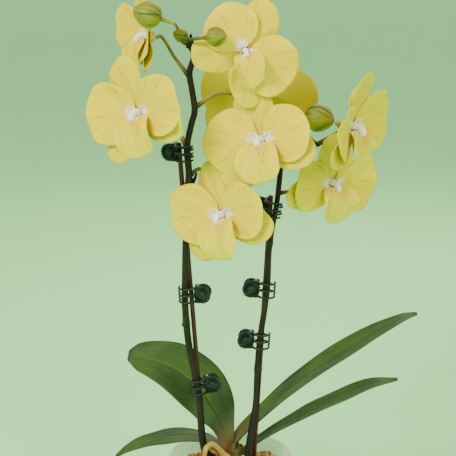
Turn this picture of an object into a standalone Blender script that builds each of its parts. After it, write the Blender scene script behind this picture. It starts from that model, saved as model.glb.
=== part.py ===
# A moth orchid in a plastic growing pot: two flower spikes on stakes, held by six spring clips.
# Metres, +Z up. The origin is the middle of the pot's underside, and the plant's front faces -Y.

import math

import bmesh
import bpy
from mathutils import Matrix, Vector

MM = 0.001
GAP = 0.3 * MM                      # room between neighbouring pieces

# Pot and growing medium
POT_HEIGHT = 92 * MM
RIM_RADIUS = 45 * MM
BASE_RADIUS = 33 * MM
POT_WALL = 1.2 * MM
RIM_LIP = 2.4 * MM                  # how far the rolled rim stands out of the wall, and its depth
FLOOR = 2.0 * MM
DRAIN_HOLES = 5
DRAIN_RADIUS = 1.9 * MM
DRAIN_CIRCLE = 22 * MM
BED_TOP = 83 * MM
BED_CROWNING = 3 * MM               # how much the bark heaps up in the middle

# Crown: the plant's short stem
CROWN_AT = Vector((4, 5, 0)) * MM
CROWN_FOOT = 62 * MM
CROWN_TOP = 99 * MM
CROWN_RADIUS = 8 * MM
STUB_RADIUS = 1.9 * MM              # the cut end of an old flower stem

# Stakes and spikes
STAKE_RADIUS = 1.6 * MM
STAKE_FOOT = 20 * MM
PEDICEL_RADIUS = 1.2 * MM
SPIKE_SIDES = 8
PEDICEL_SIDES = 6

# Flowers
SHEET = 0.9 * MM                    # thickness of sepals, petals and lip
HUB_RADIUS = 3.4 * MM
SEPAL_LENGTH = 36 * MM
SEPAL_WIDTH = 25 * MM
PETAL_LENGTH = 37 * MM
PETAL_WIDTH = 39 * MM
OUTLINE_TURN = math.radians(152)    # how far round its ellipse a sepal's or petal's outline runs, each way
LIP_LENGTH = 28 * MM
LIP_WIDTH = 28 * MM
PETAL_LIFT = 1.8 * MM               # the petals' hub stands this far in front of the sepals' hub
COLUMN_LIFT = 3.0 * MM              # and the column's foot this far
COLUMN_LENGTH = 8 * MM
COLUMN_RADIUS = 2.5 * MM

# Daisy clips: the hinge axis is the clip's own Z, the jaws reach to -X and the pads to +X
JAW_REACH = 6.9 * MM                # hinge axis to the middle of the gripped stems
JAW_RADIUS = 5.1 * MM
JAW_BAND = 1.3 * MM
FINGER_DEPTH = 1.7 * MM
FINGER_PITCH = 4.7 * MM
KNUCKLE_RADIUS = 1.6 * MM
KNUCKLE_BORE = 0.85 * MM
KNUCKLE_SPLIT = 3.1 * MM            # height where the back half's knuckle ends and the front's begin
CLIP_HALF_HEIGHT = 6.0 * MM
PIN_RADIUS = 0.5 * MM
PAD_RADIUS = 6.0 * MM
PAD_DEPTH = 1.3 * MM
PAD_MIDDLE = 3.2 * MM               # hinge axis to the pad's middle
PAD_SPLAY = math.radians(14)        # each pad leans this far away from the middle


def mm(*values):
    return Vector(values) * MM


# Where the two stakes and the two spikes run, and how thick the spikes are along them.
STAKES = {
    "stake_left": (mm(-13.6, 3, 20), mm(-33.9, 3, 312)),
    "stake_right": (mm(12.7, 3, 20), mm(26.6, 3, 284)),
}
SPIKES = {
    "spike_left": [
        (mm(-12, 1.5, 91), 2.6), (mm(-17.5, -2, 97), 2.6), (mm(-19.8, -2.6, 107), 2.6),
        (mm(-20.9, -2.2, 120), 2.5), (mm(-22.3, -1.7, 140), 2.4), (mm(-24.2, -1.6, 153), 2.4),
        (mm(-28.9, -0.6, 178), 2.4), (mm(-31.1, -0.2, 205), 2.3), (mm(-30.8, -1.0, 228), 2.3),
        (mm(-30.2, -1.8, 251), 2.2), (mm(-28.9, -1.2, 275), 2.2), (mm(-27.6, 0, 295), 2.3),
        (mm(-28.7, 1, 311), 2.2), (mm(-28.2, 1, 318), 2.1), (mm(-25.8, 1, 329), 2.1), (mm(-23.6, 0, 338), 2.1), (mm(-25, 0, 350), 2.0),
        (mm(-26.6, 0, 362), 2.0), (mm(-23.9, 0, 373), 1.8),
        (mm(-27, 0, 381), 1.6),
    ],
    "spike_right": [
        (mm(7.5, -5.5, 88), 2.6), (mm(11.5, -5, 97), 2.6), (mm(13.5, -3.5, 108), 2.5),
        (mm(15.3, -2, 120), 2.4), (mm(17.4, -1.4, 135), 2.2), (mm(18.3, -1.2, 160), 2.1),
        (mm(19.9, -1.2, 182), 2.1), (mm(22.8, -1.2, 203), 2.1), (mm(24.6, -1.1, 222), 2.1),
        (mm(25.2, -1, 242), 2.0), (mm(27, -0.8, 258), 1.9), (mm(30.2, 1.2, 275), 1.8), (mm(31.8, 3, 289), 1.8),
        (mm(33.6, 7, 303), 1.7), (mm(38, 13, 316), 1.6), (mm(44, 15, 323), 1.5), (mm(51, 14, 319), 1.4),
        (mm(57.5, 11, 313.5), 1.3),
    ],
}

# Each flower. turn is yaw to +X, pitch up and roll (counter-clockwise seen from in front); cup is how far the
# whorls lean forward, and lean how far the sepals' tips bend back again, in millimetres. Sepal and petal angles
# run counter-clockwise from the flower's right, reach scales its two petals, and lip is the twist and size of
# its lip. The stalk leaves its spike through the given points. Angles are in degrees.
FLOWERS = {
    "flower_1": {"hub": mm(-53, 14, 384), "turn": (-66, 4, -6), "cup": 22, "size": 0.96, "sepals": (-24, 90, 208),
                 "petals": (8, 176), "lean": 3.5, "reach": (1, 1), "lip": (0, 1), "spike": "spike_left",
                 "stalk": (mm(-27, 0, 360), mm(-36, 7, 371))},
    "flower_2": {"hub": mm(-56.5, -22, 339), "turn": (-34, 2, 20), "cup": 11, "size": 1.04, "sepals": (-30, 96, 216),
                 "petals": (0, 164), "lean": 3.5, "reach": (0.96, 1.02), "lip": (-8, 1), "spike": "spike_left",
                 "stalk": (mm(-28.5, 1, 313), mm(-36, 1, 326))},
    "flower_3": {"hub": mm(8.3, -19.5, 376.8), "turn": (6, 4, -30), "cup": 2, "size": 0.97, "sepals": (-54, 94, 211),
                 "petals": (3, 151), "lean": 3.5, "reach": (1, 0.9), "lip": (42, 0.85), "spike": "spike_left",
                 "stalk": (mm(-24, 0, 371), mm(-14, -1, 371))},
    "flower_4": {"hub": mm(17, 30, 343.5), "turn": (168, -8, 10), "cup": 4, "size": 1.1, "sepals": (-38, 90, 218),
                 "petals": (6, 174), "lean": 3.5, "reach": (1, 1), "lip": (0, 1), "spike": "spike_left",
                 "stalk": (mm(-23.5, 0, 340), mm(-8, 8, 348))},
    "flower_5": {"hub": mm(19.7, -20, 321.8), "turn": (-24, 10, 20), "cup": 8, "size": 1.04, "sepals": (-32, 90, 218),
                 "petals": (-2, 165), "lean": 3.5, "reach": (0.9, 1), "lip": (-12, 1), "spike": "spike_right",
                 "stalk": (mm(33.6, 7, 303), mm(33, 9, 310))},
    "flower_6": {"hub": mm(-5, -16, 272.4), "turn": (-32, 4, 20), "cup": 10, "size": 1.04, "sepals": (-27, 92, 214),
                 "petals": (-1, 165), "lean": 9, "reach": (0.9, 1), "lip": (-8, 1), "spike": "spike_left",
                 "stalk": (mm(-27.6, 0, 295), mm(-18, 2, 298))},
    "flower_7": {"hub": mm(74, -22, 331), "turn": (58, -8, 0), "cup": 16, "size": 1.04, "sepals": (-28, 88, 212),
                 "petals": (10, 186), "lean": 3.5, "reach": (1, 0.88), "lip": (0, 1), "spike": "spike_right",
                 "stalk": (mm(57, 11, 314), mm(71, 8, 323.5))},
    "flower_8": {"hub": mm(66.5, 6, 289.5), "turn": (28, -4, 0), "cup": 6, "size": 0.96, "sepals": (-22, 90, 196),
                 "petals": (-4, 180), "lean": 3.5, "reach": (1, 0.9), "lip": (6, 1), "spike": "spike_right",
                 "stalk": (mm(31, 2.2, 283), mm(41, 7, 284))},
}

# Each bud: middle, direction of its tip, length, radius; then its spike and where its stalk starts.
BUDS = {
    "bud_1": (mm(-50.5, -30, 399.5), (-1, -0.1, 0.35), 18, 8.2, "spike_left", (mm(-26.6, 0, 380), mm(-34, 1, 390))),
    "bud_2": (mm(-32, -6, 386), (-0.8, -0.4, 0.4), 10.5, 4.4, "spike_left", (mm(-26.6, 0, 380),)),
    "bud_3": (mm(-8.6, -32, 386.3), (0.9, -0.4, 0.1), 13, 6.0, "spike_left",
              (mm(-27, 0, 380), mm(-30, -13, 382), mm(-26, -24, 384))),
    "bud_4": (mm(58, 4, 332.5), (0.8, -0.6, -0.1), 21, 9.4, "spike_right", (mm(43, 15, 323),)),
}

# Bracts: the small scale at a joint of a spike. Foot, direction, length.
BRACTS = {
    "spike_left": [
        (mm(-31, -1.2, 193), (0.1, -0.8, 1), 9), (mm(-27.4, 0, 290), (0.7, 0.4, 1), 9),
        (mm(-26.6, 0, 378), (0.1, 0.3, 1), 9),
    ],
    "spike_right": [
        (mm(26.4, -1, 250), (-0.6, -0.9, 1), 7), (mm(18.6, -1.2, 160), (0.2, -0.8, 1), 7),
    ],
}

# Each clip: the stems' middle at its height, the side its pads are on (1 is +X), how far it is turned about
# the stems and how far it tilts with them, in degrees.
CLIPS = {
    "clip_1": (mm(-30.8, 1.8, 310), -1, -40, -1),
    "clip_2": (mm(-29.3, 1.0, 213.5), 1, -4, -3),
    "clip_3": (mm(-22.9, 0.4, 147), 1, 8, -8),
    "clip_4": (mm(27.9, 1.7, 272.5), -1, -55, 8),
    "clip_5": (mm(23.9, 0.9, 217), -1, -6, 3),
    "clip_6": (mm(20.5, 0.9, 180.5), -1, -4, 3),
}

# Leaves: mid-rib points with the blade's half width there, the way the blade's edge points, and the rib's fold.
LEAVES = {
    "leaf_1": ([
        (mm(-3, 10, 100), 3.5), (mm(-6, 16, 109), 9), (mm(-12, 22, 120), 16), (mm(-22, 28, 133), 20),
        (mm(-38, 33, 145), 19), (mm(-54, 37, 151), 13.5), (mm(-67, 39, 154), 7.5), (mm(-75, 40, 154.5), 2.5),
    ], (0.52, 0.62, 0.58), 0.16),
    "leaf_2": ([
        (mm(-7, 9, 96), 4), (mm(-17, 14, 99.5), 6.5), (mm(-31, 15, 101.5), 9), (mm(-47, 13, 101.5), 9.5),
        (mm(-62, 10, 99), 8), (mm(-74, 7, 95), 5), (mm(-82, 5, 90.5), 2),
    ], (-0.10, 0.97, 0.10), 0.10),
    "leaf_3": ([
        (mm(6, 11, 102), 4.5), (mm(16, 17, 111), 8.5), (mm(34, 20, 127), 13), (mm(55, 21, 144), 15.5),
        (mm(78, 20, 161), 15), (mm(100, 18, 177), 12), (mm(118, 16, 189), 7.5), (mm(130.5, 15, 194.5), 2.5),
    ], (0.06, 0.97, 0.10), 0.22),
    "leaf_4": ([
        (mm(13, 10, 94), 4), (mm(22, 12.5, 100.5), 6.5), (mm(38, 11, 111.5), 10), (mm(58, 8, 124), 12.5),
        (mm(78, 4, 136), 12), (mm(97, 0, 147), 8.5), (mm(115, -3, 153), 2.5),
    ], (0.20, 0.95, 0.04), 0.20),
}
LEAF_THICKNESS = 1.8 * MM

# Aerial roots: their centre lines and radius.
ROOTS = {
    "root_1": ([
        (0, -4.5, 93.5), (-5, -8, 99), (-10, -10.5, 106), (-14, -12, 108.5), (-17.5, -13.5, 105), (-18.5, -15, 96),
        (-19, -17, 84), (-19, -19, 74),
    ], 2.0),
    "root_2": ([
        (21.5, -1.5, 86.5), (25, -1, 90), (30, 0, 88.5), (33.5, 1, 81), (34.5, 1, 70),
    ], 1.8),
    "root_3": ([
        (-4.5, 9, 87), (-11, 15, 91.5), (-17, 21, 88), (-20.5, 24.5, 79), (-21, 25.5, 70),
    ], 1.8),
}

COLOURS = {
    "pot": ((0.60, 0.54, 0.52), 0.35),
    "bark": ((0.36, 0.16, 0.06), 0.9),
    "root": ((0.55, 0.40, 0.18), 0.7),
    "crown": ((0.15, 0.11, 0.03), 0.6),
    "leaf": ((0.05, 0.14, 0.02), 0.4),
    "spike": ((0.02, 0.03, 0.012), 0.5),
    "stake": ((0.09, 0.02, 0.022), 0.45),
    "clip": ((0.013, 0.04, 0.025), 0.3),
    "pin": ((0.5, 0.5, 0.5), 0.3),
    "sepal": ((0.80, 0.68, 0.10), 0.6),
    "petal": ((0.90, 0.74, 0.12), 0.6),
    "lip": ((0.90, 0.80, 0.30), 0.6),
    "bud": ((0.39, 0.42, 0.04), 0.5),
}


# ---- Mesh helpers

def clear_scene():
    for obj in list(bpy.data.objects):
        bpy.data.objects.remove(obj)


def material(name):
    if name in bpy.data.materials:
        return bpy.data.materials[name]
    colour, roughness = COLOURS[name]
    made = bpy.data.materials.new(name)
    made.use_nodes = True
    shader = made.node_tree.nodes["Principled BSDF"]
    shader.inputs["Base Color"].default_value = (*colour, 1)
    shader.inputs["Roughness"].default_value = roughness
    shader.inputs["Metallic"].default_value = 1.0 if name == "pin" else 0.0
    return made


def add_object(name, mesh, finish):
    obj = bpy.data.objects.new(name, mesh)
    bpy.context.scene.collection.objects.link(obj)
    if not mesh.materials:
        mesh.materials.append(material(finish))
    mesh.shade_smooth()
    mesh.set_sharp_from_angle(angle=math.radians(40))
    return obj


def mesh_from(verts, faces):
    mesh = bpy.data.meshes.new("shape")
    mesh.from_pydata([tuple(v) for v in verts], [], faces)
    bm = bmesh.new()
    bm.from_mesh(mesh)
    bmesh.ops.recalc_face_normals(bm, faces=bm.faces)
    bm.to_mesh(mesh)
    bm.free()
    return mesh


def turned(profile, steps):
    # A solid of revolution about Z. The profile is (radius, height) pairs, and may start and end on the axis.
    bm = bmesh.new()
    verts = [bm.verts.new((r, 0, z)) for r, z in profile]
    edges = [bm.edges.new(pair) for pair in zip(verts, verts[1:])]
    bmesh.ops.spin(bm, geom=verts + edges, axis=(0, 0, 1), angle=2 * math.pi, steps=steps, use_merge=True)
    bmesh.ops.remove_doubles(bm, verts=bm.verts, dist=1e-7)
    bmesh.ops.recalc_face_normals(bm, faces=bm.faces)
    mesh = bpy.data.meshes.new("turned")
    bm.to_mesh(mesh)
    bm.free()
    return mesh


def box(low, high):
    corners = [(x, y, z) for x in (low[0], high[0]) for y in (low[1], high[1]) for z in (low[2], high[2])]
    faces = [(0, 1, 3, 2), (4, 6, 7, 5), (0, 4, 5, 1), (2, 3, 7, 6), (0, 2, 6, 4), (1, 5, 7, 3)]
    return mesh_from(corners, faces)


def rod(foot, top, radius, sides):
    return tube([Vector(foot), Vector(top)], [radius, radius], sides)


def tube(points, radii, sides):
    # A closed round tube through the points. The ring's frame is carried along so that it doesn't twist.
    before, after = [points[0]] + points[:-1], points[1:] + [points[-1]]
    tangents = [(b - a).normalized() for a, b in zip(before, after)]
    across = tangents[0].orthogonal().normalized()
    verts = []
    for point, tangent, radius in zip(points, tangents, radii):
        across = (across - across.dot(tangent) * tangent).normalized()
        other = tangent.cross(across)
        for i in range(sides):
            turn = 2 * math.pi * i / sides
            verts.append(point + radius * (math.cos(turn) * across + math.sin(turn) * other))
    faces = [tuple(range(sides)), tuple(range(len(verts) - sides, len(verts)))]
    for ring in range(len(points) - 1):
        for i in range(sides):
            a, b = ring * sides + i, ring * sides + (i + 1) % sides
            faces.append((a, b, b + sides, a + sides))
    return mesh_from(verts, faces)


def evaluated(obj):
    graph = bpy.context.evaluated_depsgraph_get()
    graph.update()
    return bpy.data.meshes.new_from_object(obj.evaluated_get(graph))


def temporary(mesh):
    obj = bpy.data.objects.new("temporary", mesh)
    bpy.context.scene.collection.objects.link(obj)
    return obj


def combined(base, tools, operation):
    # The base mesh after each tool mesh has been joined to it, or cut from it.
    for tool in tools:
        held, cutter = temporary(base), temporary(tool)
        boolean = held.modifiers.new("combine", "BOOLEAN")
        boolean.object = cutter
        boolean.operation = operation
        boolean.solver = "EXACT"
        base = evaluated(held)
        bpy.data.objects.remove(held)
        bpy.data.objects.remove(cutter)
    return base


def solidified(mesh, thickness):
    held = temporary(mesh)
    shell = held.modifiers.new("thickness", "SOLIDIFY")
    shell.thickness = thickness
    shell.offset = 0
    shell.use_even_offset = True
    made = evaluated(held)
    bpy.data.objects.remove(held)
    return made


def smooth_path(points, steps):
    # Points along a Catmull-Rom curve through the given ones.
    ends = [2 * points[0] - points[1]] + points + [2 * points[-1] - points[-2]]
    path = []
    for a, b, c, d in zip(ends, ends[1:], ends[2:], ends[3:]):
        for i in range(steps):
            t = i / steps
            path.append(0.5 * (2 * b + (c - a) * t + (2 * a - 5 * b + 4 * c - d) * t ** 2
                               + (3 * b - a - 3 * c + d) * t ** 3))
    return path + [points[-1]]


# ---- Pot and growing medium

def wall_radius(z):
    return BASE_RADIUS + (RIM_RADIUS - RIM_LIP - BASE_RADIUS) * z / POT_HEIGHT


def build_pot():
    top = POT_HEIGHT
    profile = [
        (0, 0), (BASE_RADIUS - 1.5 * MM, 0), (BASE_RADIUS, 1.5 * MM),
        (wall_radius(top - 2 * RIM_LIP), top - 2 * RIM_LIP), (RIM_RADIUS, top - RIM_LIP * 1.4),
        (RIM_RADIUS, top - 0.3 * RIM_LIP), (RIM_RADIUS - 0.4 * RIM_LIP, top),
        (RIM_RADIUS - RIM_LIP - 0.2 * MM, top - 0.2 * RIM_LIP),
        (wall_radius(top - 2 * RIM_LIP) - POT_WALL, top - 2 * RIM_LIP),
        (wall_radius(FLOOR) - POT_WALL, FLOOR), (0, FLOOR),
    ]
    drains = []
    for i in range(DRAIN_HOLES):
        turn = 2 * math.pi * i / DRAIN_HOLES
        x, y = DRAIN_CIRCLE * math.cos(turn), DRAIN_CIRCLE * math.sin(turn)
        drains.append(rod((x, y, -FLOOR), (x, y, 2 * FLOOR), DRAIN_RADIUS, 8))
    add_object("pot", combined(turned(profile, 40), drains, "DIFFERENCE"), "pot")


def build_bed():
    # The bark fills the pot to just under its rim, with a well for everything that stands in it.
    low = FLOOR + GAP
    profile = [
        (0, low), (wall_radius(low) - POT_WALL - GAP, low), (wall_radius(BED_TOP) - POT_WALL - GAP, BED_TOP),
        (0.6 * RIM_RADIUS, BED_TOP + 0.6 * BED_CROWNING), (0, BED_TOP + BED_CROWNING),
    ]
    wells = [rod(foot - mm(0, 0, 1), top, STAKE_RADIUS + GAP, 8) for foot, top in STAKES.values()]
    wells.append(crown_body(GAP))
    wells += [root_tube(name, GAP) for name in ROOTS]
    add_object("bark_bed", combined(turned(profile, 32), wells, "DIFFERENCE"), "bark")


# ---- Crown, roots and leaves

def crown_body(extra):
    profile = [
        (0, CROWN_FOOT - extra), (0.5 * CROWN_RADIUS + extra, CROWN_FOOT - extra),
        (CROWN_RADIUS + extra, BED_TOP - 8 * MM), (CROWN_RADIUS + extra, BED_TOP + 8 * MM),
        (0.6 * CROWN_RADIUS + extra, CROWN_TOP - 2 * MM), (0, CROWN_TOP),
    ]
    mesh = turned(profile, 12)
    mesh.transform(Matrix.Translation(CROWN_AT))
    return mesh


def build_crown():
    stub = rod(CROWN_AT + mm(1, -5, 92), CROWN_AT + mm(-0.5, -11.5, 97), STUB_RADIUS, 8)
    add_object("crown", combined(crown_body(0), [stub], "UNION"), "crown")


def root_tube(name, extra):
    points, radius = ROOTS[name]
    path = [mm(*point) for point in points]
    path[0] += (path[0] - path[1]).normalized() * extra
    path[-1] += (path[-1] - path[-2]).normalized() * extra
    return tube(path, [radius * MM + extra] * len(path), 7)


def build_roots():
    for name in ROOTS:
        add_object(name, root_tube(name, 0), "root")


def leaf_mesh(stations, edge_way, fold):
    # A blade along its mid-rib. Each station is a row across the blade, folded up a little at its edges.
    side = Vector(edge_way).normalized()
    places = [point for point, _ in stations]
    verts, columns = [], 5
    for i, (point, half) in enumerate(stations):
        along = (places[min(i + 1, len(places) - 1)] - places[max(i - 1, 0)]).normalized()
        across = (side - side.dot(along) * along).normalized()
        up = along.cross(across) if along.cross(across).z > 0 else across.cross(along)
        for j in range(columns):
            v = 2 * j / (columns - 1) - 1
            verts.append(point + half * MM * (v * across + fold * v * v * up))
    faces = []
    for i in range(len(stations) - 1):
        for j in range(columns - 1):
            a = i * columns + j
            faces.append((a, a + 1, a + columns + 1, a + columns))
    return solidified(mesh_from(verts, faces), LEAF_THICKNESS)


def build_leaves():
    for name, (stations, edge_way, fold) in LEAVES.items():
        add_object(name, leaf_mesh(stations, edge_way, fold), "leaf")


# ---- Flowers

def facing_matrix(at, yaw, pitch, roll):
    # The flower's own X is to its right, Y up and Z out of its face.
    turn = Matrix.Rotation(math.radians(yaw), 4, "Z") @ Matrix.Rotation(math.radians(90 - pitch), 4, "X")
    return Matrix.Translation(at) @ turn @ Matrix.Rotation(math.radians(roll), 4, "Z")


def whorl_mesh(blades, cup):
    # Blades round one hub, as one sheet. A blade is its angle in degrees, its length, its greatest width, half
    # its foot's angle, how far its tip leans back, and how far its edges do. Each row of points runs from the
    # hub's rim out to the blade's outline, which is an ellipse with a notch at the foot.
    columns, rows = 7, 2
    verts, faces, hub = [], [], []
    for angle, length, width, foot, lean, curl in blades:
        start = len(verts)
        reach = 0.5 * (length - 0.6 * HUB_RADIUS)
        for row in range(rows + 1):
            u = row / rows
            for j in range(columns):
                v = 2 * j / (columns - 1) - 1
                along = (1 - u) * HUB_RADIUS * math.cos(v * foot) + u * (
                    length - reach + reach * math.cos(v * OUTLINE_TURN))
                across = (1 - u) * HUB_RADIUS * math.sin(v * foot) + u * 0.5 * width * math.sin(v * OUTLINE_TURN)
                far = math.hypot(along, across)
                out = max(far - HUB_RADIUS, 0)
                shrink = (HUB_RADIUS + out * math.cos(cup)) / (HUB_RADIUS + out)
                height = out * math.sin(cup) - lean * (out / length) ** 2 - curl * (2 * across / width) ** 2 * u
                along, across = shrink * along, shrink * across
                turn = math.radians(angle)
                verts.append((along * math.cos(turn) - across * math.sin(turn),
                              along * math.sin(turn) + across * math.cos(turn), height))
        hub += range(start, start + columns)
        for i in range(rows):
            for j in range(columns - 1):
                a = start + i * columns + j
                faces.append((a, a + 1, a + columns + 1, a + columns))
    return solidified(mesh_from(verts, faces + [tuple(hub)]), SHEET)


def sepals_mesh(angles, cup, lean):
    shape = (SEPAL_LENGTH, SEPAL_WIDTH, math.radians(30), lean * MM, 1.0 * MM)
    return whorl_mesh([(angle, *shape) for angle in angles], cup)


def petals_mesh(angles, reaches, cup):
    foot, lean, curl = math.radians(48), 1.0 * MM, 0.4 * MM
    blades = [(angle, reach * PETAL_LENGTH, reach * PETAL_WIDTH, foot, lean, curl)
              for angle, reach in zip(angles, reaches)]
    mesh = whorl_mesh(blades, cup)
    mesh.transform(Matrix.Translation((0, 0, PETAL_LIFT)))
    return mesh


def lip_mesh():
    # The column stands out of the flower's middle. The lip leaves its foot as a trough, whose raised edges are
    # the side lobes, and opens into a broad apron that hangs in front of the lower sepals.
    lift = COLUMN_LIFT
    column = tube([Vector((0, 0, lift)), Vector((0, -0.6 * MM, lift + 0.5 * COLUMN_LENGTH)),
                   Vector((0, -2.2 * MM, lift + COLUMN_LENGTH))],
                  [0.8 * COLUMN_RADIUS, COLUMN_RADIUS, 0.8 * COLUMN_RADIUS], 8)
    # Each station: height in the flower, how far out of its face, half width, and how far its edges stand up.
    half = 0.5 * LIP_WIDTH
    stations = [
        (-1.2 * MM, lift + 1.2 * MM, 0.08 * half, 0.0),
        (-4.5 * MM, lift + 4.5 * MM, 0.34 * half, 2.5 * MM),
        (-8.5 * MM, lift + 7.0 * MM, 0.76 * half, 2.5 * MM),
        (-15.5 * MM, lift + 7.5 * MM, half, 1.0 * MM),
        (-23.5 * MM, lift + 6.0 * MM, 0.80 * half, -1.0 * MM),
        (-LIP_LENGTH, lift + 3.5 * MM, 0.36 * half, -1.0 * MM),
    ]
    columns = 5
    verts, faces = [], []
    for y, z, wide, lifted in stations:
        for j in range(columns):
            v = 2 * j / (columns - 1) - 1
            verts.append((wide * v, y + 0.5 * max(lifted, 0) * v * v, z + lifted * v * v))
    for i in range(len(stations) - 1):
        for j in range(columns - 1):
            a = i * columns + j
            faces.append((a, a + 1, a + columns + 1, a + columns))
    return combined(column, [solidified(mesh_from(verts, faces), SHEET)], "UNION")


def build_flowers():
    for name, flower in FLOWERS.items():
        cup = math.radians(flower["cup"])
        twist, lip_size = flower["lip"]
        lip = lip_mesh()
        lip.transform(Matrix.Rotation(math.radians(twist), 4, "Z") @ Matrix.Scale(lip_size, 4))
        parts = {
            "sepals": (sepals_mesh(flower["sepals"], cup, flower["lean"]), "sepal"),
            "petals": (petals_mesh(flower["petals"], flower["reach"], cup), "petal"),
            "lip": (lip, "lip"),
        }
        for part, (mesh, finish) in parts.items():
            mesh.transform(Matrix.Scale(flower["size"], 4))
            place = facing_matrix(flower["hub"], *flower["turn"])
            add_object(f"{name}_{part}", mesh, finish).matrix_world = place


# ---- Buds

def bud_matrix(at, way):
    return Matrix.Translation(at) @ Vector(way).to_track_quat("Z", "Y").to_matrix().to_4x4()


def build_buds():
    for name, (at, way, length, radius, _, _) in BUDS.items():
        profile = [(0, -0.5), (0.45, -0.44), (0.85, -0.24), (1, 0), (0.86, 0.24), (0.45, 0.43), (0, 0.5)]
        mesh = turned([(r * radius * MM, z * length * MM) for r, z in profile], 10)
        add_object(name, mesh, "bud").matrix_world = bud_matrix(at, way)


# ---- Spikes and stakes

def stalk(start, end, way, radius):
    # A flower stalk from its spike to just behind the flower or bud, arriving along the way that this faces.
    tip = end - way * (0.5 * SHEET + GAP)
    run = min(9 * MM, 0.4 * (end - start[-1]).length)
    path = smooth_path([*start, end - way * run], 2) + [end - way * 0.5 * run, tip]
    radii = [radius] * (len(path) - 2) + [1.25 * radius, 1.35 * radius]
    return tube(path, radii, PEDICEL_SIDES)


def stalks_of(spike):
    made = []
    for flower in FLOWERS.values():
        if flower["spike"] == spike:
            way = facing_matrix(flower["hub"], *flower["turn"]).to_3x3() @ Vector((0, 0, 1))
            made.append(stalk(flower["stalk"], flower["hub"], way, PEDICEL_RADIUS))
    for at, way, length, _, owner, start in BUDS.values():
        if owner == spike:
            way = Vector(way).normalized()
            made.append(stalk(start, at - way * 0.5 * length * MM, way, 0.85 * PEDICEL_RADIUS))
    return made


def bract(foot, way, length):
    tip = foot + Vector(way).normalized() * length * MM
    return tube([foot, foot.lerp(tip, 0.5), tip], [1.6 * MM, 1.5 * MM, 0.3 * MM], 5)


def build_spikes():
    for name, stations in SPIKES.items():
        stem = tube([point for point, _ in stations], [radius * MM for _, radius in stations], SPIKE_SIDES)
        extras = stalks_of(name) + [bract(*entry) for entry in BRACTS[name]]
        add_object(name, combined(stem, extras, "UNION"), "spike")


def build_stakes():
    for name, (foot, top) in STAKES.items():
        add_object(name, rod(foot, top, STAKE_RADIUS, 8), "stake")


# ---- Clips

def finger(front, height):
    # One curved finger of a jaw, from beside the hinge round the stems to their far side.
    sign = -1 if front else 1
    steps, first, last = 7, math.radians(22), math.radians(205)
    verts = []
    for i in range(steps + 1):
        turn = first + (last - first) * i / steps
        for radius in (JAW_RADIUS, JAW_RADIUS + JAW_BAND):
            for z in (height - 0.5 * FINGER_DEPTH, height + 0.5 * FINGER_DEPTH):
                verts.append((radius * math.cos(turn) - JAW_REACH, sign * radius * math.sin(turn), z))
    faces = [(0, 1, 3, 2), tuple(4 * steps + k for k in (0, 2, 3, 1))]
    for i in range(steps):
        for a, b in ((0, 1), (1, 3), (3, 2), (2, 0)):
            faces.append((4 * i + a, 4 * i + b, 4 * i + 4 + b, 4 * i + 4 + a))
    return mesh_from(verts, faces)


def pad(front):
    # The round pad that a thumb presses, leaning away from the other half's pad.
    sign = -1 if front else 1
    disc = rod((0, -0.5 * PAD_DEPTH, 0), (0, 0.5 * PAD_DEPTH, 0), PAD_RADIUS, 14)
    lean = Matrix.Rotation(sign * PAD_SPLAY, 4, "Z")
    disc.transform(Matrix.Translation((PAD_MIDDLE, sign * (KNUCKLE_RADIUS + 2.2 * MM), 0)) @ lean)
    return disc


def clip_half(front):
    sign = -1 if front else 1
    top, split = CLIP_HALF_HEIGHT, KNUCKLE_SPLIT
    near, far = KNUCKLE_RADIUS + GAP, KNUCKLE_RADIUS + GAP + 1.2 * MM
    plate = box((-2.2 * MM, min(sign * near, sign * far), -top), (3.6 * MM, max(sign * near, sign * far), top))
    levels = [(split, top), (-top, -split)] if front else [(-split + GAP, split - GAP)]
    parts = [pad(front)]
    for low, high in levels:
        edges = sorted((sign * 0.6 * MM, sign * (near + 0.4 * MM)))
        parts.append(box((-1.2 * MM, edges[0], low), (1.2 * MM, edges[1], high)))
        parts.append(rod((0, 0, low), (0, 0, high), KNUCKLE_RADIUS, 8))
    heights = (-FINGER_PITCH, 0, FINGER_PITCH) if front else (-0.5 * FINGER_PITCH, 0.5 * FINGER_PITCH)
    parts += [finger(front, height) for height in heights]
    half = combined(plate, parts, "UNION")
    bore = rod((0, 0, -2 * top), (0, 0, 2 * top), KNUCKLE_BORE, 6)
    return combined(half, [bore], "DIFFERENCE")


def clip_matrix(stems, side, turned_by, tilt):
    # The hinge axis stands beside the stems, along them. A clip whose pads are on the left is turned over.
    turn = Matrix.Rotation(math.radians(tilt), 4, "Y") @ Matrix.Rotation(math.radians(turned_by), 4, "Z")
    if side < 0:
        turn = turn @ Matrix.Rotation(math.pi, 4, "Y")
    return Matrix.Translation(stems) @ turn @ Matrix.Translation((JAW_REACH, 0, 0))


def build_clips():
    meshes = {"front": clip_half(True), "back": clip_half(False)}
    pin = rod((0, 0, -CLIP_HALF_HEIGHT), (0, 0, CLIP_HALF_HEIGHT), PIN_RADIUS, 6)
    for name, (stems, side, turned_by, tilt) in CLIPS.items():
        place = clip_matrix(stems, side, turned_by, tilt)
        for half, mesh in meshes.items():
            add_object(f"{name}_{half}", mesh, "clip").matrix_world = place
        add_object(f"{name}_pin", pin, "pin").matrix_world = place


clear_scene()
build_pot()
build_bed()
build_crown()
build_roots()
build_leaves()
build_stakes()
build_spikes()
build_buds()
build_flowers()
build_clips()
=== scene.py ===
# Yellow moth orchid in its growing pot: the looks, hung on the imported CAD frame.
import math

import bpy
import numpy as np
from mathutils import Matrix, Vector


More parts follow.
